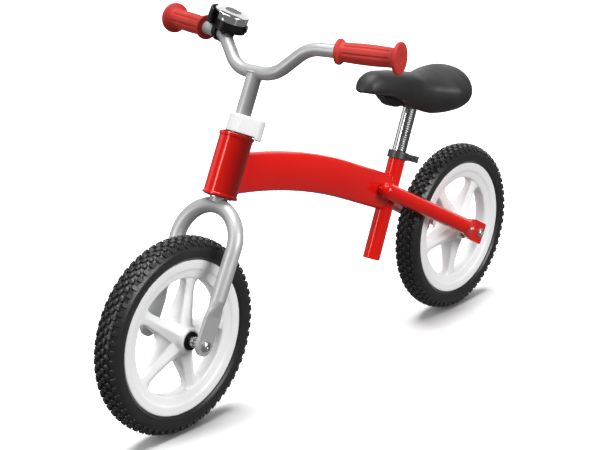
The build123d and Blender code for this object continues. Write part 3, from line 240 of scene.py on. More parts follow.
def piece(name, verts, faces, body, slot, sharp=40.0, hides=()):
    me = bpy.data.meshes.new(name)
    me.from_pydata([tuple(v) for v in verts], [], faces)
    me.validate()
    me.update()
    me.polygons.foreach_set("use_smooth", [True] * len(me.polygons))
    if sharp is not None:
        me.set_sharp_from_angle(angle=radians(sharp))
    me.materials.append(BY_SLOT[slot])
    ob = bpy.data.objects.new(name, me)
    scene.collection.objects.link(ob)
    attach(ob, body)
    if hides:
        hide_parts(*hides)
    return ob


def rings_to_mesh(rings, closed_ring=True, closed_run=False, cap_start=False, cap_end=False):
    """Quads between rings that all have the same number of points."""
    verts = [p for ring in rings for p in ring]
    n = len(rings[0])
    faces = []
    runs = len(rings) if closed_run else len(rings) - 1
    for i in range(runs):
        a, b = i * n, ((i + 1) % len(rings)) * n
        for j in range(n if closed_ring else n - 1):
            k = (j + 1) % n
            faces.append((a + j, a + k, b + k, b + j))
    if cap_start:
        faces.append(tuple(range(n - 1, -1, -1)))
    if cap_end:
        last = (len(rings) - 1) * n
        faces.append(tuple(last + j for j in range(n)))
    return verts, faces


def place(origin, x, y, z):
    o = Vector(origin)
    x, y, z = Vector(x), Vector(y), Vector(z)
    return lambda a, b, c: (o + x * a + y * b + z * c) * MM


def smooth_line(points, steps=6):
    """Points of a Catmull-Rom curve through the given points."""
    out = []
    n = len(points)
    for i in range(n - 1):
        p0 = points[max(i - 1, 0)]
        p1, p2 = points[i], points[i + 1]
        p3 = points[min(i + 2, n - 1)]
        for s in range(steps):
            t = s / steps
            out.append(tuple(
                0.5 * (2 * b + (c - a) * t + (2 * a - 5 * b + 4 * c - d) * t * t + (3 * b - a - 3 * c + d) * t ** 3)
                for a, b, c, d in zip(p0, p1, p2, p3)))
    out.append(tuple(points[-1]))
    return out


def bead(name, points, radius, body, slot, closed=True, ripple=0.18, pitch=2.4, sides=10):
    """A weld bead: a tube along points (mm) with the ripples of a weld."""
    pts = [Vector(p) for p in points]
    n = len(pts)
    rings = []
    run = 0.0
    ref = None
    for i, p in enumerate(pts):
        if closed:
            t = (pts[(i + 1) % n] - pts[i - 1]).normalized()
        else:
            t = (pts[min(i + 1, n - 1)] - pts[max(i - 1, 0)]).normalized()
        if ref is None:
            ref = t.orthogonal().normalized()
        ref = (ref - t * ref.dot(t)).normalized()
        side = t.cross(ref)
        r = radius * (1 + ripple * sin(2 * pi * run / pitch))
        if not closed and (i == 0 or i == n - 1):
            r *= 0.3
        rings.append([(p + ref * (r * cos(2 * pi * k / sides)) + side * (r * sin(2 * pi * k / sides))) * MM
                      for k in range(sides)])
        run += (pts[(i + 1) % n] - p).length
    verts, faces = rings_to_mesh(rings, True, closed, not closed, not closed)
    return piece(name, verts, faces, body, slot, None)


def even(points, step, closed):
    """The line through points, resampled at an even step."""
    pts = [Vector(p) for p in points]
    if closed:
        pts.append(pts[0])
    lengths = [0.0]
    for a, b in zip(pts, pts[1:]):
        lengths.append(lengths[-1] + (b - a).length)
    count = max(8, int(lengths[-1] / step))
    out = []
    j = 0
    for i in range(count if closed else count + 1):
        d = lengths[-1] * i / count
        while j < len(lengths) - 2 and lengths[j + 1] < d:
            j += 1
        f = (d - lengths[j]) / max(1e-9, lengths[j + 1] - lengths[j])
        out.append(pts[j].lerp(pts[j + 1], f))
    return out


# ----------------------------------------------------------- shared sizes
AXLE_Z = 140.0
WHEELS = (("front", 325.0), ("rear", -325.0))
HEAD_A = radians(24.2)
HB = Vector((238.61, 0, 318.2))
HEAD_X, HEAD_Z = Vector((cos(HEAD_A), 0, sin(HEAD_A))), Vector((-sin(HEAD_A), 0, cos(HEAD_A)))
SEAT_A = radians(21.4)
SB = Vector((-106.0, 0, 138.2))
SEAT_X, SEAT_Z = Vector((cos(SEAT_A), 0, sin(SEAT_A))), Vector((-sin(SEAT_A), 0, cos(SEAT_A)))
LEFT = Vector((0, 1, 0))

# ---------------------------------------------------------------- tyres
# smooth side walls, and rows of tread blocks that follow the crown
CROWN_R = (17.6 ** 2 + 5.6 ** 2) / (2 * 5.6)
CROWN_S = CROWN_R * math.asin(17.6 / CROWN_R)


def circle3(a, b, c):
    ax, ay = a
    bx, by = b
    cx, cy = c
    d = 2 * (ax * (by - cy) + bx * (cy - ay) + cx * (ay - by))
    ux = ((ax * ax + ay * ay) * (by - cy) + (bx * bx + by * by) * (cy - ay) + (cx * cx + cy * cy) * (ay - by)) / d
    uy = ((ax * ax + ay * ay) * (cx - bx) + (bx * bx + by * by) * (ax - cx) + (cx * cx + cy * cy) * (bx - ax)) / d
    return ux, uy, sqrt((ax - ux) ** 2 + (ay - uy) ** 2)


SIDE = circle3((17.6, 134.4), (20.2, 123.0), (16.4, 110.0))
SIDE_A0 = atan2(134.4 - SIDE[1], 17.6 - SIDE[0])


def tyre_skin(s, off):
    """A point of the outer skin: s along it from the crown (mm, signed), off below or above it."""
    sign = 1 if s >= 0 else -1
    s = abs(s)
    if s <= CROWN_S:
        a = s / CROWN_R
        return sign * (CROWN_R + off) * sin(a), 140.0 - CROWN_R + (CROWN_R + off) * cos(a)
    a = SIDE_A0 - (s - CROWN_S) / SIDE[2]
    return sign * (SIDE[0] + (SIDE[2] + off) * cos(a)), SIDE[1] + (SIDE[2] + off) * sin(a)


def on_wheel(cx, y, r, a):
    return Vector((cx + r * cos(a), y, AXLE_Z + r * sin(a))) * MM


def tread_block(cx, s0, a0, hs, hv, skew, verts, faces, height=3.4, lift=0.0):
    """One block: a rounded rectangle on the skin, wider at its foot."""
    count = 12
    base = len(verts)
    for scale, off in ((1.16, -height - 0.6), (1.04, -height * 0.55), (0.96, -0.75), (0.78, -0.05)):
        for k in range(count):
            t = 2 * pi * (k + 0.5) / count
            u = hs * scale * abs(cos(t)) ** 0.45 * (1 if cos(t) > 0 else -1)
            v = hv * scale * abs(sin(t)) ** 0.45 * (1 if sin(t) > 0 else -1)
            u, v = u + v * skew, v - u * skew * 0.4
            y, r = tyre_skin(s0 + u, off + lift)
            verts.append(on_wheel(cx, y, r, a0 + v / 138.0))
    for ring in range(3):
        for k in range(count):
            m = (k + 1) % count
            a, b = base + ring * count, base + (ring + 1) * count
            faces.append((a + k, a + m, b + m, b + k))
    faces.append(tuple(base + 3 * count + k for k in range(count)))


PITCHES = 64
# the side wall, from the shoulder in to the rim: along the skin, and off it
WALL = [(20.2, -2.9), (22.7, -2.3), (25.2, -1.3), (27.2, -0.5), (29.2, -0.1), (31.7, 0.0), (34.7, 0.0), (37.3, 0.0),
        (38.1, 0.1), (38.6, 0.45), (39.4, 0.55), (40.2, 0.45), (40.7, 0.1), (42.7, -0.1), (43.9, -0.4)]
for which, cx in WHEELS:
    section = []
    for s in (-17.0, -14.0, -11.0, -8.0, -5.0, -2.5, 0.0, 2.5, 5.0, 8.0, 11.0, 14.0, 17.0):
        section.append(tyre_skin(s, -3.3))
    for s, off in WALL:
        section.append(tyre_skin(s, off))
    section += [(14.2, 110.0), (11.5, 98.2), (-11.5, 98.2), (-14.2, 110.0)]
    for s, off in reversed(WALL):
        section.append(tyre_skin(-s, off))
    rings = [[on_wheel(cx, y, r, 2 * pi * i / 192) for y, r in section] for i in range(192)]
    verts, faces = rings_to_mesh(rings, True, True)
    step = 2 * pi / PITCHES
    for i in range(PITCHES):
        a = step * i
        # middle pairs, set apart by half a pitch
        tread_block(cx, -3.5, a, 2.9, 4.3, 0.16, verts, faces)
        tread_block(cx, 3.5, a + step / 2, 2.9, 4.3, 0.16, verts, faces)
        # inner shoulder
        tread_block(cx, -10.4, a + step / 2, 3.1, 4.1, -0.18, verts, faces)
        tread_block(cx, 10.4, a, 3.1, 4.1, -0.18, verts, faces)
        # shoulder lugs that run over onto the side wall
        long = 5.6 if i % 2 == 0 else 4.6
        tread_block(cx, -14.2 - long, a, long, 3.9, 0.06, verts, faces)
        tread_block(cx, 14.2 + long, a + step / 2, long, 3.9, 0.06, verts, faces)
    piece(which + "_tyre_tread", verts, faces, which + "_wheel", "black_foam", 48.0, (which + "_tyre",))

# ----------------------------------------------------------------- rims
# ring, spokes and hub flow into each other, with their edges rounded off


def rounded_copy(nodes, name, voxel, passes, body, slot, move=None):
    verts, faces = [], []
    for node in nodes:
        src = frame["nodes"][node].data
        base = len(verts)
        verts += [move(node, v.co) if move else v.co.copy() for v in src.vertices]
        faces += [tuple(base + i for i in f.vertices) for f in src.polygons]
    me = bpy.data.meshes.new(name)
    me.from_pydata([tuple(v) for v in verts], [], faces)
    me.update()
    work = bpy.data.objects.new(name, me)
    scene.collection.objects.link(work)
    rem = work.modifiers.new("remesh", "REMESH")
    rem.mode = "VOXEL"
    rem.voxel_size = voxel
    rem.use_smooth_shade = True
    smo = work.modifiers.new("smooth", "SMOOTH")
    smo.factor = 0.5
    smo.iterations = passes
    dg = bpy.context.evaluated_depsgraph_get()
    done = bpy.data.meshes.new_from_object(work.evaluated_get(dg))
    work.modifiers.clear()
    work.data = done
    bpy.data.meshes.remove(me)
    done.materials.clear()
    done.materials.append(BY_SLOT[slot])
    done.polygons.foreach_set("use_smooth", [True] * len(done.polygons))
    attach(work, body)
    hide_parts(*nodes)
    return work


def into_ring(cx):
    def move(node, co):
        x, z = co.x - cx * MM, co.z - AXLE_Z * MM
        r = sqrt(x * x + z * z)
        if node.endswith("_spokes") and r > 0.0825:
            f = (r + 0.0030) / r
            return Vector((cx * MM + x * f, co.y, AXLE_Z * MM + z * f))
        return co.copy()
    return move


for which, cx in WHEELS:
    rounded_copy((which + "_rim", which + "_spokes"), which + "_wheel_moulding", 0.0012, 4, which + "_wheel",
                 "white_plastic", into_ring(cx))

# ---------------------------------------------------------------- grips
BAR_BEND = Vector((145.5, 78.0, 521.5))
BAR_END = Vector((113.76, 207.54, 521.6))
for side, flip in (("left", 1.0), ("right", -1.0)):
    o = Vector((BAR_BEND.x, BAR_BEND.y * flip, BAR_BEND.z))
    e = Vector((BAR_END.x, BAR_END.y * flip, BAR_END.z))
    d = (e - o).normalized()
    u = Vector((0, 0, 1)).cross(d).normalized()
    v = d.cross(u)
    line = [(43.0, 9.6), (43.0, 14.6), (43.25, 16.4), (44.1, 17.5), (45.6, 17.6), (47.0, 17.5), (48.1, 16.8), (49.0, 15.3),
            (50.4, 14.0), (53.0, 13.45), (60.0, 13.6), (74.0, 14.15), (88.0, 14.3), (101.0, 14.15), (114.5, 13.6),
            (121.5, 13.45), (124.5, 13.9), (126.3, 15.3), (127.7, 18.3), (128.7, 20.7), (129.8, 21.8), (131.5, 22.0),
            (133.2, 21.85), (134.2, 21.0), (134.7, 18.8), (135.0, 15.5), (135.3, 11.5), (135.4, 8.0)]
    line = smooth_line(line, 4) + [(135.3, 6.6), (134.7, 5.8), (134.4, 4.0), (134.3, 1.2)]
    count = 120
    rings = []
    for s, r in line:
        depth = 0.0
        if 52.0 < s < 123.0:
            depth = min(1.0, (s - 52.0) / 4.0, (123.0 - s) / 4.0)
        ring = []
        for k in range(count):
            a = 2 * pi * k / count
            # eight grooves along the barrel
            g = cos(8 * a + 0.5)
            cut = 1.25 * depth * max(0.0, (g - 0.45) / 0.55) ** 0.6
            rr = r - cut
            ring.append((o + d * s + u * (rr * cos(a)) + v * (rr * sin(a))) * MM)
        rings.append(ring if flip > 0 else ring[::-1])
    verts, faces = rings_to_mesh(rings, True, False, True, True)
    piece("grip_" + side + "_sleeve", verts, faces, "handlebar", "red_rubber", 50.0, ("grip_" + side,))

# ----------------------------------------------------------------- bell
RB = Vector((145.5, -78.0, 521.5))
RD = (Vector((113.76, -207.54, 521.6)) - RB).normalized()
BELL_Z = Vector((-0.166, 0.302, 0.939)).normalized()
BELL_X = (-RD - BELL_Z * (-RD).dot(BELL_Z)).normalized()
BELL_Y = BELL_Z.cross(BELL_X)
BELL_O = RB + RD * 22.5 + BELL_X * 16.8 + BELL_Y * 6.3 + BELL_Z * 2.0
at_bell = place(BELL_O, BELL_X, BELL_Y, BELL_Z)
outer = smooth_line([(24.4, 22.5), (24.5, 23.6), (24.58, 26.0), (24.75, 28.6), (24.95, 30.6), (25.15, 31.7),
                     (25.15, 32.4), (24.8, 33.0), (24.1, 33.4), (22.4, 33.95), (20.0, 34.6), (17.0, 35.2), (14.2, 35.65),
                     (12.9, 35.8), (12.3, 35.8), (11.95, 35.55), (11.8, 35.25)], 4)
inner = smooth_line([(3.2, 35.2), (3.1, 34.1), (12.6, 34.0), (16.8, 33.7), (20.6, 32.85), (23.1, 31.8), (23.5, 31.0),
                     (23.3, 29.0), (23.1, 26.0), (22.9, 22.5)], 3)
profile = outer + inner
rings = [[at_bell(r * cos(2 * pi * k / 96), r * sin(2 * pi * k / 96), z) for k in range(96)] for r, z in profile]
verts, faces = rings_to_mesh(rings, True, True)
piece("bell_dome_shell", verts, faces, "handlebar", "chrome", 35.0, ("bell_dome",))

# dished cap in the middle of the dome
profile = smooth_line([(11.55, 35.22), (11.6, 35.6), (11.3, 35.9), (10.5, 36.0), (8.6, 35.75), (5.0, 35.5), (0.3, 35.4)], 4)
rings = [[at_bell(r * cos(2 * pi * k / 64), r * sin(2 * pi * k / 64), z) for k in range(64)] for r, z in profile]
verts, faces = rings_to_mesh(rings, True, False, True, True)
piece("bell_cap_dish", verts, faces, "handlebar", "grey_plastic", 40.0, ("bell_dome_cap",))

# wire spring round the lever's pin
LEVER_X = BELL_X * cos(radians(48)) + BELL_Y * sin(radians(48))
LEVER_Y = BELL_Z.cross(LEVER_X)
path = []
for i in range(97):
    a = 2 * pi * i / 24
    path.append(BELL_O + LEVER_X * (18 + 2.85 * cos(a)) + LEVER_Y * (2.85 * sin(a)) + BELL_Z * (18.9 + 2.2 * i / 96))
bead("bell_spring_wire", path, 0.42, "handlebar", "zinc_steel", False, 0.0)
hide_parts("bell_lever_spring")

# ---------------------------------------------------------- clamp cover
LUG = radians(127.0)
LUG_X = HEAD_X * cos(LUG) + LEFT * sin(LUG)
LUG_Y = HEAD_Z.cross(LUG_X)
at_lug = place(HB, LUG_X, LUG_Y, HEAD_Z)


def two_circles(r0, r1, gap, count):
    """The outline round two circles, as (point, outward normal, part of the big circle)."""
    a = math.acos((r0 - r1) / gap)
    arc0, arc1 = r0 * (2 * pi - 2 * a), r1 * 2 * a
    flat = sqrt(gap ** 2 - (r0 - r1) ** 2)
    total = arc0 + arc1 + 2 * flat
    out = []
    for i in range(count):
        d = total * i / count
        if d < arc1:
            t = -a + d / r1
            out.append((gap + r1 * cos(t), r1 * sin(t), cos(t), sin(t), None))
        elif d < arc1 + flat:
            f = (d - arc1) / flat
            p, q = (gap + r1 * cos(a), r1 * sin(a)), (r0 * cos(a), r0 * sin(a))
            out.append((p[0] + (q[0] - p[0]) * f, p[1] + (q[1] - p[1]) * f, cos(a), sin(a), None))
        elif d < arc1 + flat + arc0:
            t = a + (d - arc1 - flat) / r0
            out.append((r0 * cos(t), r0 * sin(t), cos(t), sin(t), (d - arc1 - flat) / arc0))
        else:
            f = (d - arc1 - flat - arc0) / flat
            p, q = (r0 * cos(a), -r0 * sin(a)), (gap + r1 * cos(a), -r1 * sin(a))
            out.append((p[0] + (q[0] - p[0]) * f, p[1] + (q[1] - p[1]) * f, cos(a), -sin(a), None))
    return out


outline = two_circles(17.8, 12.2, 21.5, 260)
z0 = 88.5 + 2.2
levels = [(0.0, 1.9), (0.0, 0.5), (0.35, 0.1), (1.0, 0.0), (3.0, 0.0), (21.8, 0.0), (23.2, 0.2), (24.2, 0.75), (25.0, 1.6),
          (25.4, 2.6), (25.5, 3.6)]
rings = []
for z, inset in levels:
    ring = []
    for x, y, nx, ny, part in outline:
        cut = 0.0
        if part is not None and 0.06 < part < 0.94 and 1.5 < z < 24.2:
            cut = 0.5 * (0.5 - 0.5 * cos(2 * pi * 22 * part)) ** 2 * min(1.0, (z - 1.5) / 1.5, (24.2 - z) / 1.2)
        # the lug's skirt hangs lower, clear of the head tube's lip
        skirt = 3.2 * max(0.0, min(1.0, (sqrt(x * x + y * y) - 27.0) / 1.2)) * max(0.0, 1.0 - z / 3.0)
        ring.append(at_lug(x - nx * (inset + cut), y - ny * (inset + cut), z0 + z - skirt))
    rings.append(ring)
# top face in to the hole, and the inside wall down
for f in (0.5, 1.0):
    ring = []
    for x, y, nx, ny, part in outline:
        t = atan2(y, x)
        px, py = x - nx * 3.6, y - ny * 3.6
        qx, qy = 12.2 * cos(t), 12.2 * sin(t)
        ring.append(at_lug(px + (qx - px) * f, py + (qy - py) * f, z0 + 25.5))
    rings.append(ring)
for z, r in ((25.3, 11.75), (24.8, 11.6), (23.1, 11.6)):
    rings.append([at_lug(r * cos(atan2(y, x)), r * sin(atan2(y, x)), z0 + z) for x, y, nx, ny, part in outline])
rings.append([at_lug(x - nx * 2.1, y - ny * 2.1, z0 + 23.1) for x, y, nx, ny, part in outline])
verts, faces = rings_to_mesh(rings, True, True)
cover = piece("clamp_cover_moulding", verts, faces, "fork", "white_plastic", 50.0, ("clamp_cover",))
# the cover takes the darker copy of the white plastic: painted shade
cover.data.materials[0] = M_WHITE_MATT_SHADED

# -------------------------------------------------------------- welds
# where the beam meets the head tube and the seat tube
BEAM_REAR, BEAM_MID, BEAM_FRONT = Vector((-143.6, 0, 238.2)), Vector((-40.0, 0, 280.9)), Vector((226.0, 0, 345.6))
run = (BEAM_MID - BEAM_REAR).normalized()
lift = Vector((-run.z, 0, run.x))
chord = BEAM_FRONT - BEAM_MID
half = chord.angle(run)
BEND_R = chord.length / (2 * sin(half))
BEND_C = BEAM_MID - lift * BEND_R


def oval(t):
    """A point of the beam's section: across and up."""
    r, c, big = 9.0, 19.7, 59.511
    dx, dy = (big - 13.0), c
    lim = atan2(dy, dx)
    a = atan2(sin(t), cos(t))
    # the angle is taken from the middle of whichever arc it falls on
    x, y = cos(a), sin(a)
    f = abs(atan2(y * 0.5, x))
    q = min(f, pi - f)
    if q < radians(45):
        w = q / radians(45) * lim
        px, py = -dx + big * cos(w), big * sin(w)
    else:
        w = lim + (q - radians(45)) / radians(45) * (pi / 2 - lim)
        px, py = r * cos(w), c + r * sin(w)
    return (px if x >= 0 else -px), (py if y >= 0 else -py)


def beam_point(d, across, up):
    """A point on the beam: d along its line from the rear."""
    straight = (BEAM_MID - BEAM_REAR).length
    if d <= straight:
        return BEAM_REAR + run * d + lift * up + LEFT * across
    a = (d - straight) / BEND_R
    out = lift * cos(a) + run * sin(a)
    return BEND_C + out * (BEND_R + up) + LEFT * across


def axis_gap(p, o, z):
    v = p - o
    return (v - z * v.dot(z)).length


def meet(across, up, o, z, radius, lo, hi):
    """How far along the beam its skin meets a round tube; lo is outside it, hi is inside."""
    for _ in range(40):
        mid = 0.5 * (lo + hi)
        if axis_gap(beam_point(mid, across, up), o, z) > radius:
            lo = mid
        else:
            hi = mid
    return 0.5 * (lo + hi)


front_line, rear_line = [], []
for i in range(160):
    t = 2 * pi * i / 160
    a, b = oval(t)
    front_line.append(beam_point(meet(a, b, HB, HEAD_Z, 23.5, 250.0, 383.0), a, b))
    if abs(a) < 12.95:
        rear_line.append(beam_point(meet(a, b, SB, SEAT_Z, 13.5, 90.0, 0.5), a, b))
bead("weld_beam_head_tube", even(front_line, 0.8, True), 1.7, "frame", "red_paint")
bead("weld_beam_seat_tube", even(rear_line, 0.8, True), 1.7, "frame", "red_paint")

# the stays' front ends, against the beam's flanks
for side, flip in (("left", 1.0), ("right", -1.0)):
    f0 = Vector((-109.7, 24.6 * flip, 254.4))
    f1 = Vector((-286.0, 51.5 * flip, 160.5))
    d = (f1 - f0).normalized()
    along = Vector((d.x, 0, d.z)).normalized()
    over = Vector((-along.z, 0, along.x))
    line = []
    for i in range(60):
        t = 2 * pi * i / 60
        # a ring in the crevice between the rounded end and the flank
        p = Vector((f0.x, 0, f0.z)) + along * (5.0 + 11.0 * cos(t)) + over * (7.2 * sin(t))
        line.append(p + LEFT * (flip * 14.4))
    bead("weld_stay_" + side, even(line, 0.8, True), 2.3, "frame", "red_paint")

# the stem under the bar
line = []
for i in range(72):
    t = 2 * pi * i / 72
    x, y = 11.1 * cos(t), 11.1 * sin(t)
    z = 177.9 - (sqrt(9.5 ** 2 - x * x) if abs(x) < 9.5 else 0.0)
    line.append(HB + HEAD_X * x + LEFT * y + HEAD_Z * min(z, 175.9))
bead("weld_stem_bar", even(line, 0.8, True), 1.25, "handlebar", "silver_paint")

# ------------------------------------------------------------- seat post
# plated tube with a ridged strip down its side for the height scale
at_seat = place(SB, SEAT_X, LEFT, SEAT_Z)
rings = []
z = 88.0
levels = []
while z < 262.0:
    levels.append(z)
    z += 0.5 if 168.0 < z < 254.0 else 4.0
levels.append(262.0)
for z in levels:
    ring = []
    for k in range(144):
        a = 2 * pi * k / 144
        off = abs((a - radians(68) + pi) % (2 * pi) - pi)
        cut = 0.0
        if off < radians(52) and 169.0 < z < 253.0:
            edge = min(1.0, (radians(52) - off) / radians(5)) * min(1.0, 0.25 + abs(off - radians(3)) / radians(6))
            cut = 0.75 * edge * (0.5 - 0.5 * cos(2 * pi * (z - 169.0) / 3.4)) ** 0.6
        r = 11.1 - cut
        ring.append(at_seat(r * cos(a), r * sin(a), z))
    rings.append(ring)
SEAT_TOP = [[at_seat(11.1 * cos(2 * pi * k / 144), 11.1 * sin(2 * pi * k / 144),
                     262.0 + 3.5) for k in range(144)]]
inside = [[at_seat(9.6 * cos(2 * pi * k / 144), 9.6 * sin(2 * pi * k / 144), z) for k in range(144)] for z in (265.5, 88.0)]
verts, faces = rings_to_mesh(rings + SEAT_TOP + inside, True, True)
strip = set()
for i in range(len(levels) - 1):
    for k in range(144):
        off = abs((2 * pi * (k + 0.5) / 144 - radians(68) + pi) % (2 * pi) - pi)
        if off < radians(52) and 168.9 < levels[i] and levels[i + 1] < 253.1:
            strip.add(i * 144 + k)
for name, chosen, look, hides in (
        # the plain part of the post takes the lighter chrome copy: painted reflection
        ("seatpost_plated", [f for i, f in enumerate(faces) if i not in strip], M_POST_BRIGHTENED, ("seatpost",)),
        # the ridged strip takes the dark plated copy: painted shade of its grooves
        ("seatpost_scale_painted_shade", [f for i, f in enumerate(faces) if i in strip], M_SCALE_SHADED, ())):
    used = sorted({i for f in chosen for i in f})
    number = {i: n for n, i in enumerate(used)}
    part = piece(name, [verts[i] for i in used], [tuple(number[i] for i in f) for f in chosen], "seat", "chrome", 60.0, hides)
    part.data.materials[0] = look

# ---------------------------------------------------------------- saddle
NOSE = Vector((-66.0, 0, 418.0))
TILT = radians(5.0)
S_BACK, S_UP = Vector((-cos(TILT), 0, -sin(TILT))), Vector((-sin(TILT), 0, cos(TILT)))
LENGTH = 238.0


def curve(knots, values, k):
    """Smooth value at k through the given points."""
    n = len(knots)
    i = 0
    while i < n - 2 and k > knots[i + 1]:
        i += 1
    h = knots[i + 1] - knots[i]
    t = (k - knots[i]) / h

    def slope(j):
        if j == 0 or j == n - 1:
            a, b = (0, 1) if j == 0 else (n - 2, n - 1)
            return (values[b] - values[a]) / (knots[b] - knots[a])
        d0 = (values[j] - values[j - 1]) / (knots[j] - knots[j - 1])
        d1 = (values[j + 1] - values[j]) / (knots[j + 1] - knots[j])
        return 0.0 if d0 * d1 <= 0 else 2 * d0 * d1 / (d0 + d1)

    m0, m1 = slope(i) * h, slope(i + 1) * h
    return ((2 * t ** 3 - 3 * t * t + 1) * values[i] + (t ** 3 - 2 * t * t + t) * m0
            + (-2 * t ** 3 + 3 * t * t) * values[i + 1] + (t ** 3 - t * t) * m1)


def saddle_shape(k):
    w = curve([0, .012, .03, .06, .15, .28, .40, .50, .60, .70, .80, .89, .955, .99, 1],
              [3.0, 7.4, 11.4, 16.2, 21.5, 24, 25.0, 26.6, 32, 43.5, 55.5, 57, 43, 24, 0.5], k)
    top = curve([0, .02, .045, .08, .11, .16, .3, .45, .58, .66, .72, .84, .93, .98, 1],
                [-3, 4, 11.5, 17.4, 20.5, 22.2, 21.0, 16.7, 14.6, 15.2, 17.0, 21.4, 19.6, 9.5, -6], k)
    mid = curve([0, .1, .3, .5, .7, .85, 1], [-4, -1, -1, -6, -13.5, -14.5, -13], k)
    low = curve([0, .1, .25, .4, .55, .7, .85, .95, 1], [-6, -8.5, -15, -28, -44, -53, -50.5, -31, -18], k)
    return w, top, mid, low


def saddle_point(k, y, z):
    return (NOSE + S_BACK * (LENGTH * k) + LEFT * y + S_UP * z) * MM


STATIONS = 84
AROUND = 56


def sweep_at(k):
    return radians(curve([0, .3, .42, .55, .88, .96, 1], [87, 87, 80, 64, 62, 78, 86], k))


def square_at(k):
    """Squareness of the upper half: full at the nose, rounder over the wings."""
    return curve([0, .45, .58, .84, .95, 1], [2.4, 2.4, 1.7, 1.7, 2.2, 2.2], k)


rings = []
hold = []
for i in range(STATIONS):
    f = i / (STATIONS - 1)
    # closer together at both ends
    k = 0.5 - 0.5 * cos(pi * f)
    k = 0.003 + 0.993 * (0.35 * f + 0.65 * k)
    w, top, mid, low = saddle_shape(k)
    ring = []
    for j in range(AROUND + 1):
        t = -sweep_at(k) + (pi + 2 * sweep_at(k)) * j / AROUND
        c, s = cos(t), sin(t)
        e = 2 / (square_at(k) if s > 0 else 2.3)
        y = w * abs(c) ** e * (1 if c > 0 else -1)
        z = mid + (top - mid) * s ** e if s > 0 else mid - (mid - low) * abs(s) ** e
        ring.append((y, z))
    # rolled edge in under the skirt
    (ya, za), (yb, zb) = ring[0], ring[-1]
    lip = min(5.0, abs(ya) * 0.5)
    tuck = [(ya - lip * 0.5, za - 0.6), (ya - lip, za + 0.8), (ya - lip, za + 5.0)]
    tuck_b = [(-p, q) for p, q in reversed(tuck)]
    whole = tuck[::-1] + ring + tuck_b
    rings.append([saddle_point(k, y, z) for y, z in whole])
    ends = min(1.0, max(0.0, (i - 2) / 8.0), max(0.0, (STATIONS - 3 - i) / 8.0))
    for j in range(len(whole)):
        hold.append(1.0 - ends * min(1.0, max(0.0, (j - 4) / 6.0), max(0.0, (len(whole) - 5 - j) / 6.0)))
verts, faces = rings_to_mesh(rings, False, False)
# both ends drawn together
n = len(rings[0])
for ring, at_k, order in ((0, 0.0, 1), (STATIONS - 1, 1.0, -1)):
    w, top, mid, low = saddle_shape(at_k)
    verts.append(saddle_point(at_k, 0, 0.5 * (max(top, low + 2) + low)))
    hold.append(1.0)
    for j in range(n):
        a, b = ring * n + j, ring * n + (j + 1) % n
        faces.append((a, len(verts) - 1, b) if order > 0 else (b, len(verts) - 1, a))
saddle = piece("saddle_cover_padded", verts, faces, "seat", "charcoal_cover", None, ("saddle_cover",))
# the padding is drawn in a little, then presses the cover out again, held along its edge
me = saddle.data
normals = [v.normal.copy() for v in me.vertices]
start = []
for v, n, h in zip(me.vertices, normals, hold):
    v.co = v.co - n * (0.0022 * (1.0 - h))
    start.append(v.co.copy())
me.update()
edge = saddle.vertex_groups.new(name="edge")
for i, h in enumerate(hold):
    edge.add([i], h, "REPLACE")
cloth = saddle.modifiers.new("cloth", "CLOTH")
cs = cloth.settings
cs.quality = 6
cs.mass = 0.3
cs.tension_stiffness = 15.0
cs.compression_stiffness = 15.0
cs.shear_stiffness = 5.0
cs.bending_stiffness = 2.0
cs.use_pressure = True
cs.uniform_pressure_force = 4.0
cs.vertex_group_mass = "edge"
cs.effector_weights.gravity = 0.0
cloth.point_cache.frame_start = 1
cloth.point_cache.frame_end = 20
for f in range(1, 21):
    scene.frame_set(f)
dg = bpy.context.evaluated_depsgraph_get()
puffed = bpy.data.meshes.new_from_object(saddle.evaluated_get(dg))
saddle.modifiers.clear()
saddle.vertex_groups.clear()
scene.frame_set(1)
steps = [q.co - p for p, q in zip(start, puffed.vertices)]
steps = [d * min(1.0, 0.0035 / max(1e-9, d.length)) for d in steps]
# taut cover: the movement is evened out between neighbours
near = [[] for _ in steps]
for e in me.edges:
    near[e.vertices[0]].append(e.vertices[1])
    near[e.vertices[1]].append(e.vertices[0])
for _ in range(14):
    steps = [d if hold[i] > 0.999 else d * 0.4 + sum((steps[j] for j in near[i]), Vector()) * (0.6 / len(near[i]))
             for i, d in enumerate(steps)]
for v, p, d in zip(me.vertices, start, steps):
    v.co = p + d
bpy.data.meshes.remove(puffed)
me.update()
fine = saddle.modifiers.new("subdivision", "SUBSURF")
fine.levels = fine.render_levels = 1

# the base under it, with its keel, has soft edges
tray = rounded_copy(("saddle_base",), "saddle_base_moulding", 0.0012, 6, "seat", "black_plastic")

# ---------------------------------------------------------------- stage
floor_mesh = bpy.data.meshes.new("floor")
floor_mesh.from_pydata([(-120, -120, 0), (120, -120, 0), (120, 120, 0), (-120, 120, 0)], [], [(0, 1, 2, 3)])
floor = bpy.data.objects.new("floor", floor_mesh)
scene.collection.objects.link(floor)
m, nt, b = new_material("pale_floor")
at = coords(nt)
nt.links.new(ramp(nt, noise(nt, at, 1.5, 3), (0.90, 0.90, 0.90), (0.93, 0.93, 0.93)), b.inputs["Base Color"])
b.inputs["Roughness"].default_value = 0.75
b.inputs["Specular IOR Level"].default_value = 0.1
b.inputs["Emission Color"].default_value = (1, 1, 1, 1)
b.inputs["Emission Strength"].default_value = 0.03
floor_mesh.materials.append(m)
# the floor takes shadows, but throws no light back up
floor.visible_diffuse = False
floor.visible_glossy = False

world = bpy.data.worlds.new("studio")
scene.world = world
world.use_nodes = True
wt = world.node_tree
back = wt.nodes["Background"]
back.inputs["Color"].default_value = (1.0, 1.0, 1.0, 1)
back.inputs["Strength"].default_value = 0.20


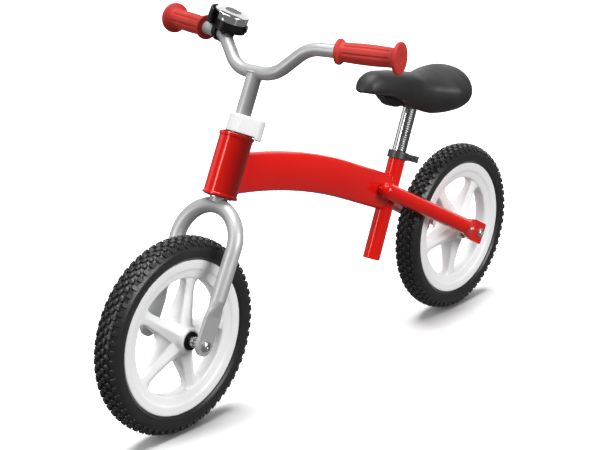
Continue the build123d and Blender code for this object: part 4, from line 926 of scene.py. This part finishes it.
def area_light(name, at, to, size, power, colour=(1, 1, 1)):
    data = bpy.data.lights.new(name, "AREA")
    data.shape = "RECTANGLE"
    data.size, data.size_y = size
    data.energy = power
    data.color = colour
    ob = bpy.data.objects.new(name, data)
    scene.collection.objects.link(ob)
    d = Vector(to) - Vector(at)
    ob.location = at
    ob.rotation_euler = d.to_track_quat("-Z", "Y").to_euler()
    return ob


sun_data = bpy.data.lights.new("overhead", "SUN")
sun_data.energy = 3.6
sun_data.angle = radians(50)
sun = bpy.data.objects.new("overhead", sun_data)
scene.collection.objects.link(sun)
sun.location = (0.6, -0.4, 3.0)
sun.rotation_euler = Vector((-0.05, 0.13, -1.0)).to_track_quat("-Z", "Y").to_euler()
area_light("front_strip", (2.5, -0.6, 1.1), (0.2, 0, 0.35), (0.45, 1.7), 22)
soft = area_light("left_soft", (0.1, 2.9, 1.55), (0, 0, 0.3), (1.7, 1.4), 78)
# this one fills the sides only, and leaves the front tubes to the strip and the floor its shadows
kept_off = bpy.data.collections.new("left_soft_receivers")
for ob in (floor, frame["nodes"]["stem_tube"], frame["nodes"]["handlebar_tube"], frame["nodes"]["head_tube"],
           bpy.data.objects["weld_stem_bar"]):
    kept_off.objects.link(ob)
for entry in kept_off.collection_objects:
    entry.light_linking.link_state = "EXCLUDE"
soft.light_linking.receiver_collection = kept_off
# and this one whitens the open floor only
floor_sun_data = bpy.data.lights.new("floor_overhead", "SUN")
floor_sun_data.energy = 2.4
floor_sun_data.angle = radians(42)
floor_sun = bpy.data.objects.new("floor_overhead", floor_sun_data)
scene.collection.objects.link(floor_sun)
floor_sun.location = (0.6, -0.4, 3.2)
floor_sun.rotation_euler = sun.rotation_euler
floor_only = bpy.data.collections.new("floor_overhead_receivers")
floor_only.objects.link(floor)
floor_sun.light_linking.receiver_collection = floor_only
area_light("right_soft", (1.2, -2.6, 1.4), (0, 0, 0.3), (1.4, 1.6), 6)
# white wall behind, for what bright metal mirrors
area_light("back_wall", (-2.6, -1.5, 1.5), (0, 0, 0.5), (4.2, 2.6), 32).visible_camera = False
